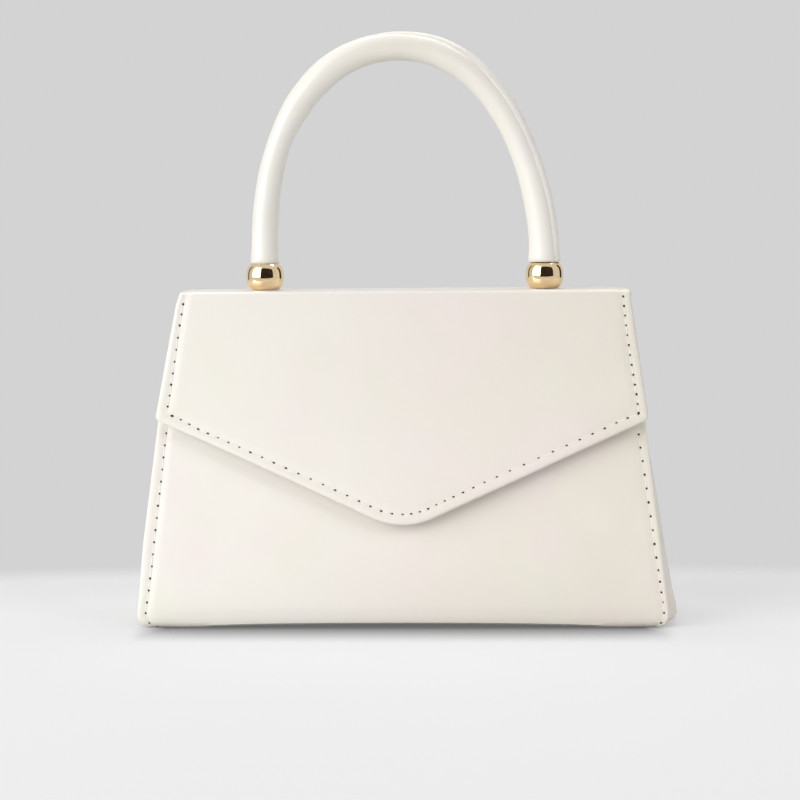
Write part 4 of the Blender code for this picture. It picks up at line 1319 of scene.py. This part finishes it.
def make_handle():
    """A sleeve of leather, with a seam that winds round the handle, on a tube that stands on the inserts."""
    turns = [*SEAM_NEAR, *steps(0.7, 5.45, 0.14), *SEAM_FAR]
    rows = handle_rings(0, 1, turns, handle_radius)
    sleeve = piece_from("handle_leather", grid(rows, wrap=True), SLEEVE_LEATHER, 35)
    thicken(sleeve, SLEEVE_LEATHER_DEPTH)
    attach(sleeve, "top")
    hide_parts("handle_wrap")
    rows = handle_rings(TUBE_START, 1 - TUBE_START, steps(0, 6, 0.25), tube_radius)
    tube = piece_from("handle_tube", grid(rows, wrap=True), core_plastic())
    thicken(tube, TUBE_WALL)
    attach(tube, "top")
    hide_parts("handle_core")


def bead_radius(radius, z):
    square = (z / MM) ** 2
    return radius - (BEAD_BELLY[0] * square + BEAD_BELLY[1] * square**2) * MM


def make_beads():
    """Turned beads with a full belly and a flat at each end, its rims eased."""
    for word in WORDS:
        low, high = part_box("post_bead_" + word)
        centre = (low + high) / 2
        radius, half = (high.x - low.x) / 2, (high.z - low.z) / 2
        edge = half - 0.6 * BEAD_EASE
        rim = bead_radius(radius, edge)
        flat = [(BEAD_BORE, 0), (rim - 2 * BEAD_EASE, 0)]
        flat += [(rim - BEAD_EASE, RIM_DROPS[0]), (rim - 0.3 * BEAD_EASE, RIM_DROPS[1])]
        profile = [(r, half - drop) for r, drop in flat]
        profile += [(bead_radius(radius, z), z) for z in steps(edge, -edge, BEAD_STEP)]
        profile += [(r, drop - half) for r, drop in flat[::-1]]
        profile.append(profile[0])
        rows = []
        for step in range(73):
            angle = math.tau * step / 72
            rows.append([centre + Vector((r * math.cos(angle), r * math.sin(angle), z)) for r, z in profile])
        piece = piece_from("gold_bead_" + word, welded(grid(rows)), GOLD, 50)
        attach(piece, "top")
        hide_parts("post_bead_" + word)


def paint_nodes():
    """Finishes for the solids that keep their own shape."""
    steel, board = zinc_steel(), greyboard()
    finishes = {"snap_socket": GOLD, "snap_stud": GOLD, "snap_magnet": steel}
    for name, node in frame["nodes"].items():
        if name.endswith("_board"):
            finishes[name] = board
        elif name.startswith(("post_screw", "post_washer", "handle_insert")) or name.endswith("_washer"):
            finishes[name] = steel
        if name in finishes:
            node.data.materials.clear()
            node.data.materials.append(finishes[name])


# Stage

def painted_floor():
    """Painted board: near white round the bag, with a painted contact shadow close under it, and gone before
    the backdrop's grey.

    Part of what the camera sees of it is its own colour, so that the key lamp's shadow stays faint.
    """
    made, tree, shader, place = new_finish("painted_floor", {"Roughness": 0.9, "Specular IOR Level": 0.0})
    cloud = add_node(tree, "ShaderNodeTexNoise", {"Scale": 2.5, "Detail": 2}, {"Vector": place}).outputs[0]
    tints = {"data_type": "RGBA", 6: colour("#EBEBEC"), 7: colour("#EFEFF0")}
    paint = add_node(tree, "ShaderNodeMix", tints, {0: cloud}).outputs[2]
    # Painted contact shadow: the paint darkens where the floor is closed in by the bag, only between
    # CONTACT_ENDS across
    near = {"samples": 8, "Distance": CONTACT_REACH}
    contact_shadow = add_node(tree, "ShaderNodeAmbientOcclusion", near).outputs["AO"]
    deeper = {"operation": "POWER", 1: CONTACT_POWER}
    contact_shadow = add_node(tree, "ShaderNodeMath", deeper, {0: contact_shadow}).outputs[0]
    least = {"operation": "MAXIMUM", 1: CONTACT_LEAST}
    contact_shadow = add_node(tree, "ShaderNodeMath", least, {0: contact_shadow}).outputs[0]
    across = add_node(tree, "ShaderNodeSeparateXYZ", None, {0: place}).outputs[0]
    across = add_node(tree, "ShaderNodeMath", {"operation": "ABSOLUTE"}, {0: across}).outputs[0]
    low, high = CONTACT_ENDS
    ends = {"interpolation_type": "SMOOTHSTEP", "From Min": low, "From Max": high}
    ends = add_node(tree, "ShaderNodeMapRange", ends, {"Value": across}).outputs[0]
    contact_shadow = add_node(tree, "ShaderNodeMath", {"operation": "MAXIMUM"}, {0: contact_shadow, 1: ends}).outputs[0]
    contact_shadowed_paint = {"data_type": "RGBA", "blend_type": "MULTIPLY", 0: 1.0}
    contact_shadowed_paint = add_node(tree, "ShaderNodeMix", contact_shadowed_paint, {6: paint, 7: contact_shadow}).outputs[2]
    tree.links.new(contact_shadowed_paint, shader.inputs["Base Color"])
    strength = {"Strength": FLOOR_GLOW_STRENGTH}
    glow = add_node(tree, "ShaderNodeEmission", strength, {"Color": contact_shadowed_paint}).outputs[0]
    seen = add_node(tree, "ShaderNodeLightPath").outputs["Is Camera Ray"]
    seen = add_node(tree, "ShaderNodeMath", {"operation": "MULTIPLY", 1: FLOOR_GLOW}, {0: seen}).outputs[0]
    lit = add_node(tree, "ShaderNodeMixShader", None, {0: seen, 1: shader.outputs[0], 2: glow}).outputs[0]
    oval = {"vector_type": "TEXTURE", "Location": FLOOR_CENTRE, "Scale": FLOOR_RADII}
    oval = add_node(tree, "ShaderNodeMapping", oval, {"Vector": place}).outputs[0]
    reach = add_node(tree, "ShaderNodeVectorMath", {"operation": "LENGTH"}, {0: oval}).outputs["Value"]
    fade = {"interpolation_type": "SMOOTHSTEP", "From Min": FLOOR_FADE, "From Max": 1}
    fade = add_node(tree, "ShaderNodeMapRange", fade, {"Value": reach}).outputs[0]
    clear = add_node(tree, "ShaderNodeBsdfTransparent").outputs[0]
    shown = add_node(tree, "ShaderNodeMixShader", None, {0: fade, 1: lit, 2: clear}).outputs[0]
    tree.links.new(shown, tree.nodes["Material Output"].inputs["Surface"])
    return made


def black_card():
    """Black foam board, matt."""
    made, tree, shader, place = new_finish("black_foam_board", {"Roughness": 0.95})
    scuff = add_node(tree, "ShaderNodeTexNoise", {"Scale": 5.0}, {"Vector": place}).outputs[0]
    tints = {"data_type": "RGBA", 6: colour("#2E2420"), 7: colour("#3A2D27")}
    tree.links.new(add_node(tree, "ShaderNodeMix", tints, {0: scuff}).outputs[2], shader.inputs["Base Color"])
    return made


def make_stage():
    shape = bmesh.new()
    bmesh.ops.create_circle(shape, cap_ends=True, radius=FLOOR_SIZE, segments=64)
    piece_from("floor", shape, painted_floor())
    board = black_card()
    for name, start, end, top in CARDS:
        shape = bmesh.new()
        corners = [(*start, 0), (*end, 0), (*end, top), (*start, top)]
        shape.faces.new([shape.verts.new(corner) for corner in corners])
        card = piece_from(name, shape, board)
        card.visible_camera = False
        card.visible_diffuse = False


def make_world():
    """A dim even light, seen as a pale grey backdrop by the camera and in gloss and glass."""
    world = bpy.data.worlds.new("studio")
    bpy.context.scene.world = world
    world.use_nodes = True
    tree = world.node_tree
    rays = add_node(tree, "ShaderNodeLightPath").outputs
    links = {0: rays["Is Camera Ray"], 1: rays["Is Glossy Ray"]}
    seen = add_node(tree, "ShaderNodeMath", {"operation": "MAXIMUM"}, links).outputs[0]
    links = {0: seen, 1: rays["Is Transmission Ray"]}
    seen = add_node(tree, "ShaderNodeMath", {"operation": "MAXIMUM"}, links).outputs[0]
    tints = {"data_type": "RGBA", 6: colour("#6E6E6E"), 7: colour("#D3D3D3")}
    backdrop = add_node(tree, "ShaderNodeMix", tints, {0: seen}).outputs[2]
    tree.links.new(backdrop, tree.nodes["Background"].inputs["Color"])


def make_lamp(name, place, size, power, tint):
    lamp = bpy.data.lights.new(name, "AREA")
    lamp.shape = "RECTANGLE"
    lamp.size, lamp.size_y = size
    lamp.energy = power
    lamp.color = colour(tint)[:3]
    made = bpy.data.objects.new(name, lamp)
    bpy.context.scene.collection.objects.link(made)
    made.location = place
    made.rotation_euler = (Vector(AIM) - Vector(place)).to_track_quat("-Z", "Y").to_euler()
    made.visible_camera = False


def make_camera():
    """The photo's camera, from the bag's corners and edges in it."""
    yaw, pitch, roll = (math.radians(angle) for angle in CAMERA_TURNS)
    ahead = Vector((math.sin(yaw) * math.cos(pitch), math.cos(yaw) * math.cos(pitch), -math.sin(pitch)))
    level = ahead.cross(Vector((0, 0, 1))).normalized()
    upright = level.cross(ahead)
    right = level * math.cos(roll) - upright * math.sin(roll)
    up = upright * math.cos(roll) + level * math.sin(roll)
    camera = bpy.data.cameras.new("camera")
    camera.sensor_width = SENSOR_WIDTH
    camera.lens = CAMERA_LENS
    made = bpy.data.objects.new("camera", camera)
    bpy.context.scene.collection.objects.link(made)
    turn = Matrix((right, up, -ahead)).transposed().to_4x4()
    made.matrix_world = Matrix.Translation(CAMERA_PLACE) @ turn
    bpy.context.scene.camera = made


def write_sizes():
    bpy.context.view_layer.update()


make_camera()
make_body_leather()
sew_mouth()
make_back_crease()
make_flap_leather()
make_gussets()
make_body_cloth()
make_pocket()
make_top_cloth()
make_flap_cloth()
make_crease_cloths()
make_handle()
make_beads()
paint_nodes()
make_stage()
make_world()
for settings in LAMPS:
    make_lamp(*settings)
bpy.data.objects["fill"].visible_glossy = False
bpy.context.scene.view_settings.view_transform = "Standard"
write_sizes()
